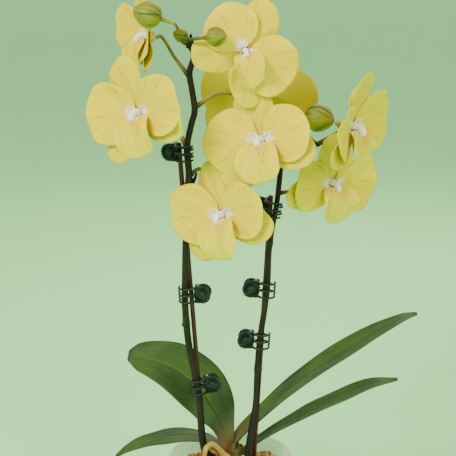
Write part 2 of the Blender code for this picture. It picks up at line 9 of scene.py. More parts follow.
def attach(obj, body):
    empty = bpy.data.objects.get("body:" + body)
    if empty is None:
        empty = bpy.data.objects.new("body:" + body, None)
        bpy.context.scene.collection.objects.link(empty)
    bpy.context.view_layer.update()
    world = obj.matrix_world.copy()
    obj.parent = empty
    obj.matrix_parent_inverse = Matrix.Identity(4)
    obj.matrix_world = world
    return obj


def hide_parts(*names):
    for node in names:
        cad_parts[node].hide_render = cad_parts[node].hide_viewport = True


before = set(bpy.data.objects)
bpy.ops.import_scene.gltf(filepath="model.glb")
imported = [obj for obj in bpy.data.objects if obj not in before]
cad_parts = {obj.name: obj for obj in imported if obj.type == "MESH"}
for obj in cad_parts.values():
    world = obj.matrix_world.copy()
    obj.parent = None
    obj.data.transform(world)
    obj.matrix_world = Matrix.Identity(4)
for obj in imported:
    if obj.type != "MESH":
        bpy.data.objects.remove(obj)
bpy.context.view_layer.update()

mm = 0.001
rootBody = "plant"


# Small numeric helpers

def points(*rows):
    return np.array(rows, float) * mm


def smoothCurve(knots, count):
    # Catmull-Rom through the knots: each span blends its two ends with the chords of their neighbours.
    knots = np.asarray(knots, float)
    ends = np.vstack([2 * knots[0] - knots[1], knots, 2 * knots[-1] - knots[-2]])
    t = np.linspace(0, len(knots) - 1, count)
    span = np.minimum(t.astype(int), len(knots) - 2)
    t = (t - span)[:, None]
    a, b, c, d = ends[span], ends[span + 1], ends[span + 2], ends[span + 3]
    square, cube = 2 * a - 5 * b + 4 * c - d, 3 * b - a - 3 * c + d
    return 0.5 * (2 * b + (c - a) * t + square * t ** 2 + cube * t ** 3)


def smoothValues(values, count):
    return smoothCurve(np.array(values, float)[:, None], count)[:, 0]


def unit(vectors):
    return vectors / (np.linalg.norm(vectors, axis=-1, keepdims=True) + 1e-12)


def shift(x, y, z):
    # A move in mm.
    return Matrix.Translation(Vector((x, y, z)) * mm)


def turned(degrees, axis):
    return Matrix.Rotation(math.radians(degrees), 4, axis)


def aimed(at, way):
    # Puts a part's own Z along a direction, at a place in mm.
    return shift(*at) @ Vector(way).to_track_quat("Z", "Y").to_matrix().to_4x4()


def placed(part, matrix):
    # The same part, moved by a 4 x 4 matrix.
    m = np.array(matrix)
    return {**part, "points": part["points"] @ m[:3, :3].T + m[:3, 3]}


def sheet(rows, cols):
    # u runs from 0 to 1 along a sheet and v from -1 to 1 across it.
    return np.meshgrid(np.linspace(0, 1, rows), np.linspace(-1, 1, cols), indexing="ij")


def sheetFlow(u, v):
    return np.stack([0.5 + 0.5 * v, u], -1)


def wave(x, seed, octaves=3):
    # A smooth made-up unevenness: a few sines whose phases come from the seed.
    rng = np.random.default_rng(seed)
    total = np.zeros_like(x)
    for k in range(1, octaves + 1):
        total = total + np.sin(x * (1.3 * k + rng.uniform(0, 0.8)) + rng.uniform(0, 6.28)) / k
    return total


# Surfaces. A part is its points, its faces, its flow (two numbers that follow the surface, for materials)
# and its tint (one number that a material may mix by).

def gridFaces(rows, cols, wrap=False):
    i, j = np.meshgrid(np.arange(rows - 1), np.arange(cols if wrap else cols - 1), indexing="ij")
    a, b = i * cols + j, i * cols + (j + 1) % cols
    return np.stack([a, b, b + cols, a + cols], -1).reshape(-1, 4)


def poleFans(sides, count):
    # Triangles from the first and last ring of a grid of count points to the two poles listed after it.
    j = np.arange(sides)
    k = (j + 1) % sides
    return np.vstack([np.stack([k, j, np.full(sides, count)], -1),
                      np.stack([j + count - sides, k + count - sides, np.full(sides, count + 1)], -1)])


def facedOut(part):
    # A closed part's enclosed volume, summed over its triangles, is negative when its faces point inwards.
    p = part["points"] - part["points"].mean(0)
    quads, tris = part["quads"], part["tris"]
    every = np.vstack([quads[:, [0, 1, 2]], quads[:, [0, 2, 3]], tris])
    volume = np.einsum("ij,ij->i", p[every[:, 0]], np.cross(p[every[:, 1]], p[every[:, 2]])).sum()
    return part if volume > 0 else {**part, "quads": quads[:, ::-1], "tris": tris[:, ::-1]}


def makePart(pts, quads, tris=None, flow=None, tint=None):
    pts = np.asarray(pts, float).reshape(-1, 3)
    count = len(pts)
    return facedOut({
        "points": pts, "quads": np.asarray(quads, int).reshape(-1, 4),
        "tris": np.zeros((0, 3), int) if tris is None else np.asarray(tris, int).reshape(-1, 3),
        "flow": np.zeros((count, 2)) if flow is None else np.asarray(flow, float).reshape(-1, 2),
        "tint": np.zeros(count) if tint is None else np.broadcast_to(tint, (count,)).astype(float),
    })


def shell(grid, thick, flow):
    # Two skins, half the thickness to each side of the grid along its normal, joined round the margin.
    rows, cols = grid.shape[:2]
    normal = unit(np.cross(np.gradient(grid, axis=0), np.gradient(grid, axis=1)))
    half = 0.5 * np.broadcast_to(thick, grid.shape[:2])[..., None]
    skins = np.concatenate([(grid + half * normal).reshape(-1, 3), (grid - half * normal).reshape(-1, 3)])
    inner, size = gridFaces(rows, cols), rows * cols
    index = np.arange(size).reshape(rows, cols)
    rim = np.concatenate([index[0, :-1], index[:-1, -1], index[-1, :0:-1], index[:0:-1, 0]])
    after = np.roll(rim, -1)
    quads = np.vstack([inner, inner[:, ::-1] + size, np.stack([after, rim, rim + size, after + size], -1)])
    under = np.repeat([0.0, 1.0], size)
    return makePart(skins, quads, flow=np.tile(flow.reshape(-1, 2), (2, 1)), tint=under)


def tube(path, radii, sides=16, tint=0.0, squash=1.0, ripple=None, rounded=0.6):
    # A ring of the given radius carried along the path, square to it, with domed ends. Ripple scales the
    # ring by its own value at each station and turn.
    path, radii = np.asarray(path, float), np.broadcast_to(radii, (len(path),)).astype(float)
    tangent = unit(np.gradient(path, axis=0))
    bend = np.array([0.35, 0.65, 0.86, 0.96])
    first = path[0] - tangent[0] * radii[0] * rounded * np.sqrt(1 - bend[:, None] ** 2)
    last = path[-1] + tangent[-1] * radii[-1] * rounded * np.sqrt(1 - bend[::-1, None] ** 2)
    stations = np.vstack([first, path, last])
    ways = np.repeat(tangent, [1 + len(bend), *[1] * (len(path) - 2), 1 + len(bend)], 0)
    sizes = np.concatenate([radii[0] * bend, radii, radii[-1] * bend[::-1]])
    axis = np.eye(3)[np.abs(tangent).max(0).argmin()]
    across = unit(np.cross(ways, axis))
    other = np.cross(ways, across)
    turn = np.linspace(0, 2 * np.pi, sides, endpoint=False)
    scale = sizes[:, None] * np.ones(sides)
    length = np.concatenate([[0], np.cumsum(np.linalg.norm(np.diff(stations, axis=0), axis=1))])
    if ripple is not None:
        scale = scale * ripple(length[:, None], turn[None, :])
    ring = across[:, None] * np.cos(turn)[:, None] + squash * other[:, None] * np.sin(turn)[:, None]
    body = stations[:, None] + scale[..., None] * ring
    rows = len(stations)
    poles = [path[0] - tangent[0] * radii[0] * rounded, path[-1] + tangent[-1] * radii[-1] * rounded]
    flow = np.stack(np.broadcast_arrays(turn[None, :] / (2 * np.pi), length[:, None]), -1).reshape(-1, 2)
    flow = np.vstack([flow, [[0, 0], [0, length[-1]]]])
    return makePart(np.vstack([body.reshape(-1, 3), *poles]), gridFaces(rows, sides, True),
                    poleFans(sides, rows * sides), flow, tint)


def carried(profile, sides, wobble):
    # The rings of a profile of radius and height carried round the upright axis, and their flow. Wobble
    # scales the radius by turn and height.
    turn, height = np.linspace(0, 2 * np.pi, sides, endpoint=False), profile[:, 1:]
    radius = profile[:, :1] * (1 if wobble is None else wobble(turn[None, :], height)) * np.ones(sides)
    rings = np.stack([radius * np.cos(turn), radius * np.sin(turn), height * np.ones(sides)], -1)
    return rings, np.stack(np.broadcast_arrays(turn[None, :] / (2 * np.pi), height), -1).reshape(-1, 2)


def spun(profile, sides, wobble=None):
    # A closed profile carried round the upright axis.
    rings, flow = carried(np.asarray(profile, float), sides, wobble)
    index = np.arange(len(profile) * sides).reshape(-1, sides)
    beside = np.roll(index, -1, 1)
    quads = np.stack([index, beside, np.roll(beside, -1, 0), np.roll(index, -1, 0)], -1)
    return makePart(rings, quads, flow=flow)


def domed(profile, sides, wobble=None, tint=0.0):
    # An open profile that starts and ends on the upright axis, carried round it and closed with two poles.
    profile = np.asarray(profile, float)
    rings, flow = carried(profile[1:-1], sides, wobble)
    rows, ends = len(rings), profile[[0, -1], 1:]
    pts, flow = np.vstack([rings.reshape(-1, 3), ends * [0, 0, 1]]), np.vstack([flow, ends * [0, 1]])
    return makePart(pts, gridFaces(rows, sides, True), poleFans(sides, rows * sides), flow, tint)


def oval(radius, half, steps):
    # Half an ellipse's outline in mm, from its lower pole to its upper one.
    a = np.linspace(0, np.pi, steps)
    return np.stack([radius * np.sin(a), -half * np.cos(a)], -1) * mm


def pushedBall(rows, sides, power):
    # A ball of rings and two poles whose sines and cosines are raised to a power below 1, towards a box.
    def push(x):
        return np.sign(x) * np.abs(x) ** power

    a = np.linspace(-np.pi / 2, np.pi / 2, rows + 2)[1:-1, None]
    b = np.linspace(0, 2 * np.pi, sides, endpoint=False)
    rings = np.stack([push(np.cos(a)) * push(np.cos(b)), push(np.cos(a)) * push(np.sin(b)),
                      push(np.sin(a)) * np.ones(sides)], -1).reshape(-1, 3)
    pts = np.vstack([rings, [[0, 0, -1], [0, 0, 1]]])
    return pts, gridFaces(rows, sides, True), poleFans(sides, rows * sides)


def block(low, high, steps=14, power=2 / 7):
    # A soft-edged box between two corners in mm.
    low, high = points(low, high)
    pts, quads, tris = pushedBall(steps - 1, 2 * steps, power)
    return makePart(pts * (high - low) / 2 + (low + high) / 2, quads, tris)


def addPiece(name, parts, finish, nodes, body=rootBody, sharp=None):
    # One mesh from all the parts, riding on its body in place of its CAD nodes.
    base = np.cumsum([0] + [len(p["points"]) for p in parts])
    quads = np.vstack([p["quads"] + b for p, b in zip(parts, base)])
    tris = np.vstack([p["tris"] + b for p, b in zip(parts, base)])
    corners = np.concatenate([quads.ravel(), tris.ravel()]).astype(np.int32)
    mesh = bpy.data.meshes.new(name)
    mesh.vertices.add(base[-1])
    mesh.vertices.foreach_set("co", np.vstack([p["points"] for p in parts]).astype(np.float32).ravel())
    mesh.loops.add(len(corners))
    mesh.loops.foreach_set("vertex_index", corners)
    starts = np.concatenate([np.arange(len(quads)) * 4, 4 * len(quads) + np.arange(len(tris)) * 3])
    mesh.polygons.add(len(starts))
    mesh.polygons.foreach_set("loop_start", starts.astype(np.int32))
    mesh.update(calc_edges=True)
    flow = mesh.uv_layers.new(name="flow")
    flow.data.foreach_set("uv", np.vstack([p["flow"] for p in parts])[corners].astype(np.float32).ravel())
    tint = mesh.attributes.new("tint", "FLOAT", "POINT")
    tint.data.foreach_set("value", np.concatenate([p["tint"] for p in parts]).astype(np.float32))
    mesh.materials.append(finish)
    mesh.shade_smooth()
    if sharp:
        mesh.set_sharp_from_angle(angle=math.radians(sharp))
    piece = bpy.data.objects.new(name, mesh)
    bpy.context.scene.collection.objects.link(piece)
    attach(piece, body)
    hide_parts(*nodes)


# Materials

def hexColour(code):
    # sRGB hex to the linear values that sockets take.
    s = np.array([int(code[i:i + 2], 16) for i in (1, 3, 5)]) / 255
    linear = np.where(s <= 0.04045, s / 12.92, ((s + 0.055) / 1.055) ** 2.4)
    return (*linear, 1.0)


def addNode(mat, kind, inputs=None, **settings):
    # One node with its settings; an input that is a socket is linked, any other is a value.
    node = mat.node_tree.nodes.new(kind)
    for key, value in settings.items():
        setattr(node, key, value)
    for key, value in (inputs or {}).items():
        if isinstance(value, bpy.types.NodeSocket):
            mat.node_tree.links.new(value, node.inputs[key])
        else:
            node.inputs[key].default_value = value
    return node


def newMaterial(name, **sockets):
    mat = bpy.data.materials.new(name)
    mat.use_nodes = True
    shader = mat.node_tree.nodes["Principled BSDF"]
    for key, value in sockets.items():
        shader.inputs[key].default_value = value
    return mat, shader


def mixed(mat, factor, a, b):
    node = addNode(mat, "ShaderNodeMix", data_type="RGBA")
    for socket, value in zip((node.inputs[0], node.inputs[6], node.inputs[7]), (factor, a, b)):
        if isinstance(value, bpy.types.NodeSocket):
            mat.node_tree.links.new(value, socket)
        else:
            socket.default_value = hexColour(value) if isinstance(value, str) else value
    return node.outputs[2]


def remapped(mat, value, low, high, outLow=0.0, outHigh=1.0):
    return addNode(mat, "ShaderNodeMapRange", {
        "Value": value, "From Min": low, "From Max": high, "To Min": outLow, "To Max": outHigh}).outputs[0]


def calc(mat, what, a, b=0.0):
    return addNode(mat, "ShaderNodeMath", {0: a, 1: b}, operation=what).outputs[0]


def times(mat, a, b):
    return calc(mat, "MULTIPLY", a, b)


def plus(mat, a, b, share):
    # a with a share of b added to it.
    return calc(mat, "ADD", a, times(mat, b, share))


def layered(mat, colour, *layers):
    # Covers a colour with others. A layer is a source, the two values it runs between, how far the layer
    # covers at each of them, and its colour.
    for source, low, high, atLow, atHigh, top in layers:
        colour = mixed(mat, remapped(mat, source, low, high, atLow, atHigh), colour, top)
    return colour


def stretched(mat, source, x, y, z=1.0):
    return addNode(mat, "ShaderNodeVectorMath", {0: source, 1: (x, y, z)}, operation="MULTIPLY").outputs[0]


def bumped(mat, shader, height, distance, strength):
    bump = addNode(mat, "ShaderNodeBump", {"Height": height, "Distance": distance, "Strength": strength})
    mat.node_tree.links.new(bump.outputs[0], shader.inputs["Normal"])


def linked(mat, shader, key, socket):
    mat.node_tree.links.new(socket, shader.inputs[key])


def finished(mat, shader, colour, height, distance, strength):
    linked(mat, shader, "Base Color", colour)
    bumped(mat, shader, height, distance, strength)
    return mat


def flowOf(mat):
    flow = addNode(mat, "ShaderNodeUVMap", uv_map="flow").outputs[0]
    apart = addNode(mat, "ShaderNodeSeparateXYZ", {0: flow})
    return flow, apart.outputs[0], apart.outputs[1]


def tintOf(mat):
    return addNode(mat, "ShaderNodeAttribute", attribute_name="tint").outputs["Fac"]


def placeOf(mat):
    return addNode(mat, "ShaderNodeTexCoord").outputs["Object"]


def noiseOf(mat, where, scale, detail=3.0, rough=0.55):
    return addNode(mat, "ShaderNodeTexNoise", {
        "Vector": where, "Scale": scale, "Detail": detail, "Roughness": rough}).outputs["Fac"]


# Each look's under colour, for the underside, is greener and darker than its face: partly the tissue's own
# colour, partly painted shade.
tissueLook = {
    "petal": {"face": "#EAC800", "pale": "#F1D60C", "vein": "#BE8C00", "foot": "#F9F0EA", "under": "#C2B404",
              "footEnd": 0.09, "speckle": 0.0},
    "sepal": {"face": "#E2C400", "pale": "#EAD20C", "vein": "#B08600", "foot": "#E4D45C", "under": "#A09E06",
              "footEnd": 0.05, "speckle": 0.0},
    "lip": {"face": "#ECD004", "pale": "#F4DE2C", "vein": "#D08C0C", "foot": "#FBF4F0", "under": "#C4B41C",
            "footEnd": 0.10, "speckle": 1.0},
}


def petalTissue(name, look):
    # Living flower tissue, soft and a little translucent. Veins about 1 mm apart run out from the foot,
    # which is paler, and the margin is lighter than the middle. The underside is greener and darker,
    # partly its own colour and partly painted shade.
    mat, shader = newMaterial(name, **{"Roughness": 0.75, "IOR": 1.18, "Subsurface Weight": 0.06,
                                       "Subsurface Radius": (1.0, 0.75, 0.1), "Subsurface Scale": 0.0016})
    flow, across, along = flowOf(mat)
    veins = noiseOf(mat, stretched(mat, flow, 46.0, 2.2), 1.0, 4.0, 0.6)
    broad = noiseOf(mat, stretched(mat, flow, 5.0, 2.0), 1.3, 2.0)
    colour = layered(mat, look["face"], (broad, 0.3, 0.75, 0.0, 0.55, look["pale"]),
                     (along, 0.80, 1.0, 0.0, 0.6, look["pale"]))
    colour = mixed(mat, times(mat, remapped(mat, veins, 0.52, 0.66), 0.5), colour, look["vein"])
    ragged, footEnd = plus(mat, along, calc(mat, "SUBTRACT", veins, 0.5), 0.44), look["footEnd"]
    colour = layered(mat, colour, (ragged, footEnd, footEnd + 0.12, 1.0, 0.0, look["foot"]))
    if look["speckle"]:
        # Red-brown freckles about 1 mm wide and an orange flush crowd the throat of the lip. Both are
        # stronger on its right side, partly where the freckles crowd and partly painted shade in the cup's
        # right inner side.
        spots = addNode(mat, "ShaderNodeTexVoronoi", {
            "Vector": stretched(mat, flow, 16.0, 15.0), "Scale": 1.0, "Randomness": 1.0}).outputs["Distance"]
        throatAndShade = times(mat, remapped(mat, along, 0.08, 0.20), remapped(mat, along, 0.34, 0.62, 1.0, 0.0))
        # Painted shade in part: the throat's colour is weakened towards the left and full on the right side.
        throatAndShade = times(mat, throatAndShade, remapped(mat, across, 0.38, 0.62, 0.25, 1.0))
        freckles = times(mat, remapped(mat, spots, 0.22, 0.34, 1.0, 0.0), throatAndShade)
        colour = mixed(mat, times(mat, throatAndShade, 0.34), colour, "#E89010")
        colour = mixed(mat, times(mat, freckles, 0.75), colour, "#93400C")
    # The underside takes the under colour: partly its own greener colour, partly painted shade.
    colour = mixed(mat, times(mat, tintOf(mat), 0.72), colour, look["under"])
    height = plus(mat, veins, noiseOf(mat, placeOf(mat), 2600.0, 2.0), 0.25)
    return finished(mat, shader, colour, height, 0.00045, 0.7)


def budTissue():
    # Closed sepals: olive green skin with darker ribs between yellowish panels, browner at the tip.
    mat, shader = newMaterial("budSkin", **{"Roughness": 0.5, "IOR": 1.4, "Subsurface Weight": 0.12,
                                            "Subsurface Radius": (0.9, 0.8, 0.2), "Subsurface Scale": 0.0015})
    veins, tint = noiseOf(mat, stretched(mat, flowOf(mat)[0], 30.0, 60.0), 1.0, 3.0), tintOf(mat)
    colour = layered(mat, "#86860A", (veins, 0.42, 0.62, 0.0, 1.0, "#5C6608"),
                     (tint, 0.35, 0.9, 0.0, 1.0, "#344508"), (tint, 0.0, -0.8, 0.0, 0.75, "#A77B3E"))
    return finished(mat, shader, colour, veins, 0.0003, 0.6)


def stemTissue():
    # Waxy flower stem, nearly black-green below and fresh olive green with a tan flush on the flower
    # stalks.
    mat, shader = newMaterial("stemSkin", **{"Roughness": 0.5, "IOR": 1.36})
    place = placeOf(mat)
    blotch, flecks = noiseOf(mat, place, 90.0, 4.0), noiseOf(mat, place, 1100.0, 3.0)
    dark = layered(mat, "#0F0A05", (blotch, 0.35, 0.7, 0.0, 1.0, "#26160D"))
    fresh = layered(mat, "#6A7410", (blotch, 0.4, 0.66, 0.0, 1.0, "#A08848"))
    height = plus(mat, blotch, flecks, 0.3)
    return finished(mat, shader, mixed(mat, tintOf(mat), dark, fresh), height, 0.0004, 0.6)


def leafTissue():
    # Thick waxy leaf: deep green with faint lengthwise veins 1 mm apart, a paler mid-rib, a yellow-brown
    # sheath at the foot and a dark dry tip. The underside is duller and lighter.
    mat, shader = newMaterial("leafSkin", **{"Roughness": 0.46, "IOR": 1.4})
    flow, across, along = flowOf(mat)
    veins = noiseOf(mat, stretched(mat, flow, 40.0, 2.5), 1.0, 3.0)
    cloud = noiseOf(mat, placeOf(mat), 38.0, 4.0)
    offRib = calc(mat, "ABSOLUTE", calc(mat, "SUBTRACT", across, 0.5))
    foot = plus(mat, along, calc(mat, "SUBTRACT", cloud, 0.5), 0.12)
    colour = layered(mat, "#1F3D02", (cloud, 0.35, 0.68, 0.0, 1.0, "#365604"),
                     (veins, 0.45, 0.62, 0.0, 0.35, "#122601"), (offRib, 0.0, 0.03, 0.45, 0.0, "#55740C"),
                     (foot, 0.20, 0.36, 0.85, 0.0, "#5F4410"), (along, 0.965, 0.985, 0.0, 1.0, "#2C2314"))
    colour = mixed(mat, times(mat, tintOf(mat), 0.5), colour, "#3F6419")
    return finished(mat, shader, colour, plus(mat, veins, cloud, 0.6), 0.0007, 0.55)


def sheathTissue():
    # Old leaf bases round the crown: papery, olive brown, with lengthwise fibres about 0.7 mm apart.
    mat, shader = newMaterial("sheathSkin", **{"Roughness": 0.55, "IOR": 1.4})
    fibre = noiseOf(mat, stretched(mat, flowOf(mat)[0], 60.0, 120.0), 1.0, 4.0)
    cloud = noiseOf(mat, placeOf(mat), 120.0, 3.0)
    colour = layered(mat, "#3F4A12", (cloud, 0.38, 0.64, 0.0, 1.0, "#6F5A20"),
                     (fibre, 0.5, 0.68, 0.0, 0.6, "#4A3A1A"))
    return finished(mat, shader, mixed(mat, tintOf(mat), colour, "#D9CCA4"), fibre, 0.0006, 0.7)


def rootSkin():
    # Velamen, the spongy dry skin of an aerial root: silvery tan, finely wrinkled across, greener in
    # patches.
    mat, shader = newMaterial("rootVelamen", **{"Roughness": 0.78, "IOR": 1.35})
    place = placeOf(mat)
    cloud, grain = noiseOf(mat, place, 150.0, 4.0), noiseOf(mat, place, 900.0, 3.0)
    colour = layered(mat, "#CDA450", (cloud, 0.35, 0.68, 0.0, 1.0, "#8E6B2C"),
                     (tintOf(mat), 0.0, 1.0, 0.0, 0.8, "#4E5A3A"))
    return finished(mat, shader, colour, plus(mat, cloud, grain, 0.4), 0.0006, 0.7)


def barkSkin():
    # Broken pine bark, orange-tan on its fresh faces and dark brown in its cracks, in layers about 1 mm
    # thick.
    mat, shader = newMaterial("pineBark", **{"Roughness": 0.86, "IOR": 1.35})
    place = placeOf(mat)
    layers = noiseOf(mat, stretched(mat, place, 240.0, 240.0, 900.0), 1.0, 4.0)
    cloud = noiseOf(mat, place, 110.0, 3.0)
    colour = layered(mat, "#B8742F", (cloud, 0.36, 0.66, 0.0, 1.0, "#5E3014"),
                     (tintOf(mat), 0.0, 1.0, 0.0, 0.75, "#E3B47C"), (layers, 0.52, 0.66, 0.0, 0.7, "#4A2A18"))
    return finished(mat, shader, colour, calc(mat, "ADD", layers, cloud), 0.0012, 0.8)


def potPlastic():
    # Thin blow-moulded polyethylene: milky grey and see-through, its gloss varying a little in patches.
    mat, shader = newMaterial("milkyPolyethylene", **{"Roughness": 0.3, "IOR": 1.5, "Alpha": 0.36})
    place = placeOf(mat)
    haze = noiseOf(mat, stretched(mat, place, 26.0, 26.0, 9.0), 1.0, 3.0)
    colour = layered(mat, "#D6C6C2", (haze, 0.35, 0.7, 0.0, 1.0, "#AE9A96"))
    linked(mat, shader, "Roughness", remapped(mat, haze, 0.3, 0.7, 0.24, 0.42))
    mat.surface_render_method = "BLENDED"
    return finished(mat, shader, colour, noiseOf(mat, place, 420.0, 2.0), 0.0002, 0.3)


def stakeCoat():
    # Plastic-coated wire stake in dark red-brown, satin, with faint die lines along it.
    mat, shader = newMaterial("coatedStake", **{"Roughness": 0.45, "IOR": 1.4})
    place = placeOf(mat)
    lines = noiseOf(mat, stretched(mat, place, 1500.0, 1500.0, 25.0), 1.0, 2.0)
    worn = noiseOf(mat, place, 70.0, 3.0)
    colour = layered(mat, "#3A1012", (worn, 0.35, 0.7, 0.0, 1.0, "#521C20"))
    linked(mat, shader, "Roughness", remapped(mat, worn, 0.3, 0.7, 0.40, 0.56))
    return finished(mat, shader, colour, lines, 0.0002, 0.4)


def clipPlastic():
    # Injection-moulded polypropylene, dark bottle green to black, with a light moulding grain and duller
    # patches.
    mat, shader = newMaterial("darkPolypropylene", **{"Roughness": 0.45, "IOR": 1.4})
    place = placeOf(mat)
    grain, worn = noiseOf(mat, place, 1400.0, 2.0), noiseOf(mat, place, 160.0, 3.0)
    colour = layered(mat, "#07140E", (worn, 0.35, 0.7, 0.0, 1.0, "#10241A"))
    linked(mat, shader, "Roughness", remapped(mat, worn, 0.3, 0.7, 0.38, 0.58))
    return finished(mat, shader, colour, grain, 0.00015, 0.4)


def springSteel():
    # Drawn spring wire: bright, with fine drawing lines round it.
    mat, shader = newMaterial("springSteel", **{"Metallic": 1.0, "Roughness": 0.3})
    place = placeOf(mat)
    colour = mixed(mat, noiseOf(mat, place, 600.0, 2.0), "#8E8F90", "#B6B8BA")
    lines = noiseOf(mat, stretched(mat, place, 300.0, 300.0, 6000.0), 1.0, 2.0)
    return finished(mat, shader, colour, lines, 0.0001, 0.4)


petalSkin, sepalSkin, lipSkin = (
    petalTissue(f"{kind}Skin", tissueLook[kind]) for kind in ("petal", "sepal", "lip"))
budSkin, stemSkin, leafSkin, sheathSkin = budTissue(), stemTissue(), leafTissue(), sheathTissue()
rootFinish, barkFinish, potFinish = rootSkin(), barkSkin(), potPlastic()
stakeFinish, clipFinish, wireFinish = stakeCoat(), clipPlastic(), springSteel()
print("materials made")

# Flowers: hub in mm; yaw, pitch and roll, then cup, in degrees; size; the angles the sepals and petals
# point at; how far the sepals' tips bend back in mm; the scale of each petal; and the lip's own twist,
# size and how far its edges roll up in mm.
flowerKeys = ("hub", "turn", "cup", "size", "sepals", "petals", "lean", "reach", "lip")
flowerRows = {
    1: ((-53, 14, 384), (-66, 4, -6), 22, 0.94, (-24, 90, 208), (8, 176), 3.5, (1, 1), (0, 1, 0)),
    2: ((-56.5, -22, 339), (-34, 2, 20), 11, 1.03, (-30, 96, 216), (0, 164), 3.5, (0.96, 1.02), (-8, 1, 0)),
    3: ((8.3, -19.5, 376.8), (6, 4, -30), 2, 0.96, (-54, 94, 211), (3, 151), 3.5, (1, 0.9), (42, 0.85, 7)),
    4: ((17, 29.4, 343.5), (168, -8, 10), 3, 1.09, (-38, 90, 218), (6, 174), 3.5, (1, 1), (0, 1, 0)),
    5: ((19.7, -20, 321.8), (-24, 10, 20), 8, 1.04, (-32, 90, 218), (-2, 165), 3.5, (0.9, 1), (-12, 1, 0)),
    6: ((-5, -16, 272.4), (-32, 4, 20), 10, 1.04, (-27, 92, 214), (-1, 165), 9, (0.9, 1), (-8, 1, 0)),
    7: ((74, -22, 331), (58, -8, 0), 16, 1.04, (-28, 88, 212), (10, 186), 3.5, (1, 0.88), (0, 1, 0)),
    8: ((66.5, 6, 289.5), (28, -4, 0), 6, 0.96, (-22, 90, 196), (-4, 180), 3.5, (1, 0.9), (6, 1, 0)),
}
flowers = {n: dict(zip(flowerKeys, row)) for n, row in flowerRows.items()}
flowerShape = {
    "hubRadius": 3.0, "sepalLength": 36.0, "sepalWidth": 26.0, "petalLength": 37.0, "petalWidth": 39.5,
    "petalLift": 1.8, "lipLength": 28.0, "lipWidth": 28.0,
}


def flowerMatrix(hub, turn):
    # The flower's own X is to its right, Y up and Z out of its face.
    yaw, pitch, roll = turn
    return shift(*hub) @ turned(yaw, "Z") @ turned(90 - pitch, "X") @ turned(roll, "Z")


def blade(length, width, foot, cup, lean, curl, sway, groove, seed, thick=0.75, turn=160.0, rows=24, cols=45):
    # A fan from a small arc at the hub out to an ellipse. Across it runs the fan's angle v, out along it
    # u. Height is the cup's slope, less a backward lean and curl, plus margin waves that grow with u
    # squared, less a groove down the middle. Sizes in mm, angles in degrees.
    hub = flowerShape["hubRadius"]
    foot, cup, turn = math.radians(foot), math.radians(cup), math.radians(turn)
    u, v = np.meshgrid(np.linspace(0, 1, rows) ** 0.9, np.linspace(-1, 1, cols), indexing="ij")
    reach = 0.5 * (length - 0.6 * hub)
    edge = 1 + 0.026 * wave(2.6 * v, seed) * u
    along = (1 - u) * hub * np.cos(v * foot) + u * edge * (length - reach + reach * np.cos(v * turn))
    across = (1 - u) * hub * np.sin(v * foot) + u * edge * 0.5 * width * np.sin(v * turn)
    far = np.maximum(np.hypot(along, across) - hub, 0)
    shrink = (hub + far * math.cos(cup)) / (hub + far)
    belly = np.sin(np.clip(far / length, 0, 1) * np.pi)
    height = (far * math.sin(cup) - lean * (far / length) ** 2 - curl * (2 * across / width) ** 2 * u
              + sway * u ** 2 * wave(3.2 * v, seed + 50, 4) + 0.8 * belly
              - groove * np.exp(-(v * 9) ** 2) * np.sin(np.clip(u * 1.15, 0, 1) * np.pi)
              + 0.16 * sway * u ** 3 * np.sin(19 * v + seed))
    grid = np.stack([shrink * along, shrink * across, height], -1) * mm
    return shell(grid, thick * mm * (0.45 + 0.55 * (1 - u ** 3)), sheetFlow(u, v))


def fan(angle, lift, **kind):
    # A blade turned to its angle round the flower's axis and lifted off the hub by so many mm.
    return placed(blade(**kind), shift(0, 0, lift) @ turned(angle, "Z"))


def evenFlow(part, along):
    # The same part with one flow value all over.
    return {**part, "flow": np.tile([0.5, along], (len(part["points"]), 1))}


def lipParts(seed, roll):
    # The lip is a round spoon. How far down a row lies and how far out it stands follow two profiles; each
    # row is bent forward at its edges by the square of the distance from the middle, and the rim is turned
    # out a little. Rolling adds the same square again from halfway down, and draws the edges in.
    shape = flowerShape
    u, v = sheet(34, 45)
    half, length = 0.5 * shape["lipWidth"], shape["lipLength"] - 3.0
    turn = math.radians(152)
    reach = 0.56 * length
    edge = 1 + 0.028 * wave(4 * v, seed) * u
    along = u * (length - reach + reach * np.cos(v * turn)) * edge
    across = (1 - u) * 1.6 * v + u * half * np.sin(v * turn) * edge
    stops = np.array([-3, 0, 3, 6, 10, 14, 18, 22, 26.0])
    down = np.interp(along, stops, [0.0, -2.0, -4.6, -7.8, -12.0, -16.2, -20.4, -24.4, -28.2])
    out = np.interp(along, stops, [4.0, 5.2, 8.4, 10.2, 10.8, 10.6, 9.8, 8.4, 6.2])
    side = np.abs(across) / half
    out = out + 1.9 * side ** 2 * np.exp(-((along - 8) / 9) ** 2)
    out = out - 2.0 * side ** 4 * np.clip((along - 12) / 10, 0, 1)
    rolled = roll * np.clip(along / 12, 0, 1)
    out = out + rolled * side ** 2
    across = across * (1 - 0.045 * rolled * side ** 2)
    out = out + 0.9 * u ** 3 * wave(5 * v, seed + 9) - 0.5 * np.exp(-(v * 7) ** 2) * np.sin(u * np.pi)
    grid = np.stack([across, down, out], -1) * mm
    parts = [shell(grid, 0.8 * mm * (0.5 + 0.5 * (1 - u ** 3)), sheetFlow(u, v))]
    ear = blade(9.0, 7.5, 40, 8, 0.0, -2.2, 0.3, 0.2, seed + 20, 0.6, 150.0, 14, 21)
    ear["flow"] = ear["flow"] * [1, 0.24]
    for hand in (-1, 1):
        lean = Matrix.Rotation(hand * 1.15, 4, "Y") @ turned(90 - hand * 62, "Z")
        parts.append(placed(ear, shift(hand * 1.4, -1.6, 4.2) @ lean))
    for at, size in (((-1.2, -4.4, 8.6), 1.4), ((1.2, -4.4, 8.6), 1.4), ((0, -6.0, 9.8), 1.2)):
        parts.append(placed(evenFlow(domed(oval(size, size, 9), 12), 0.23), shift(*at)))
    return parts


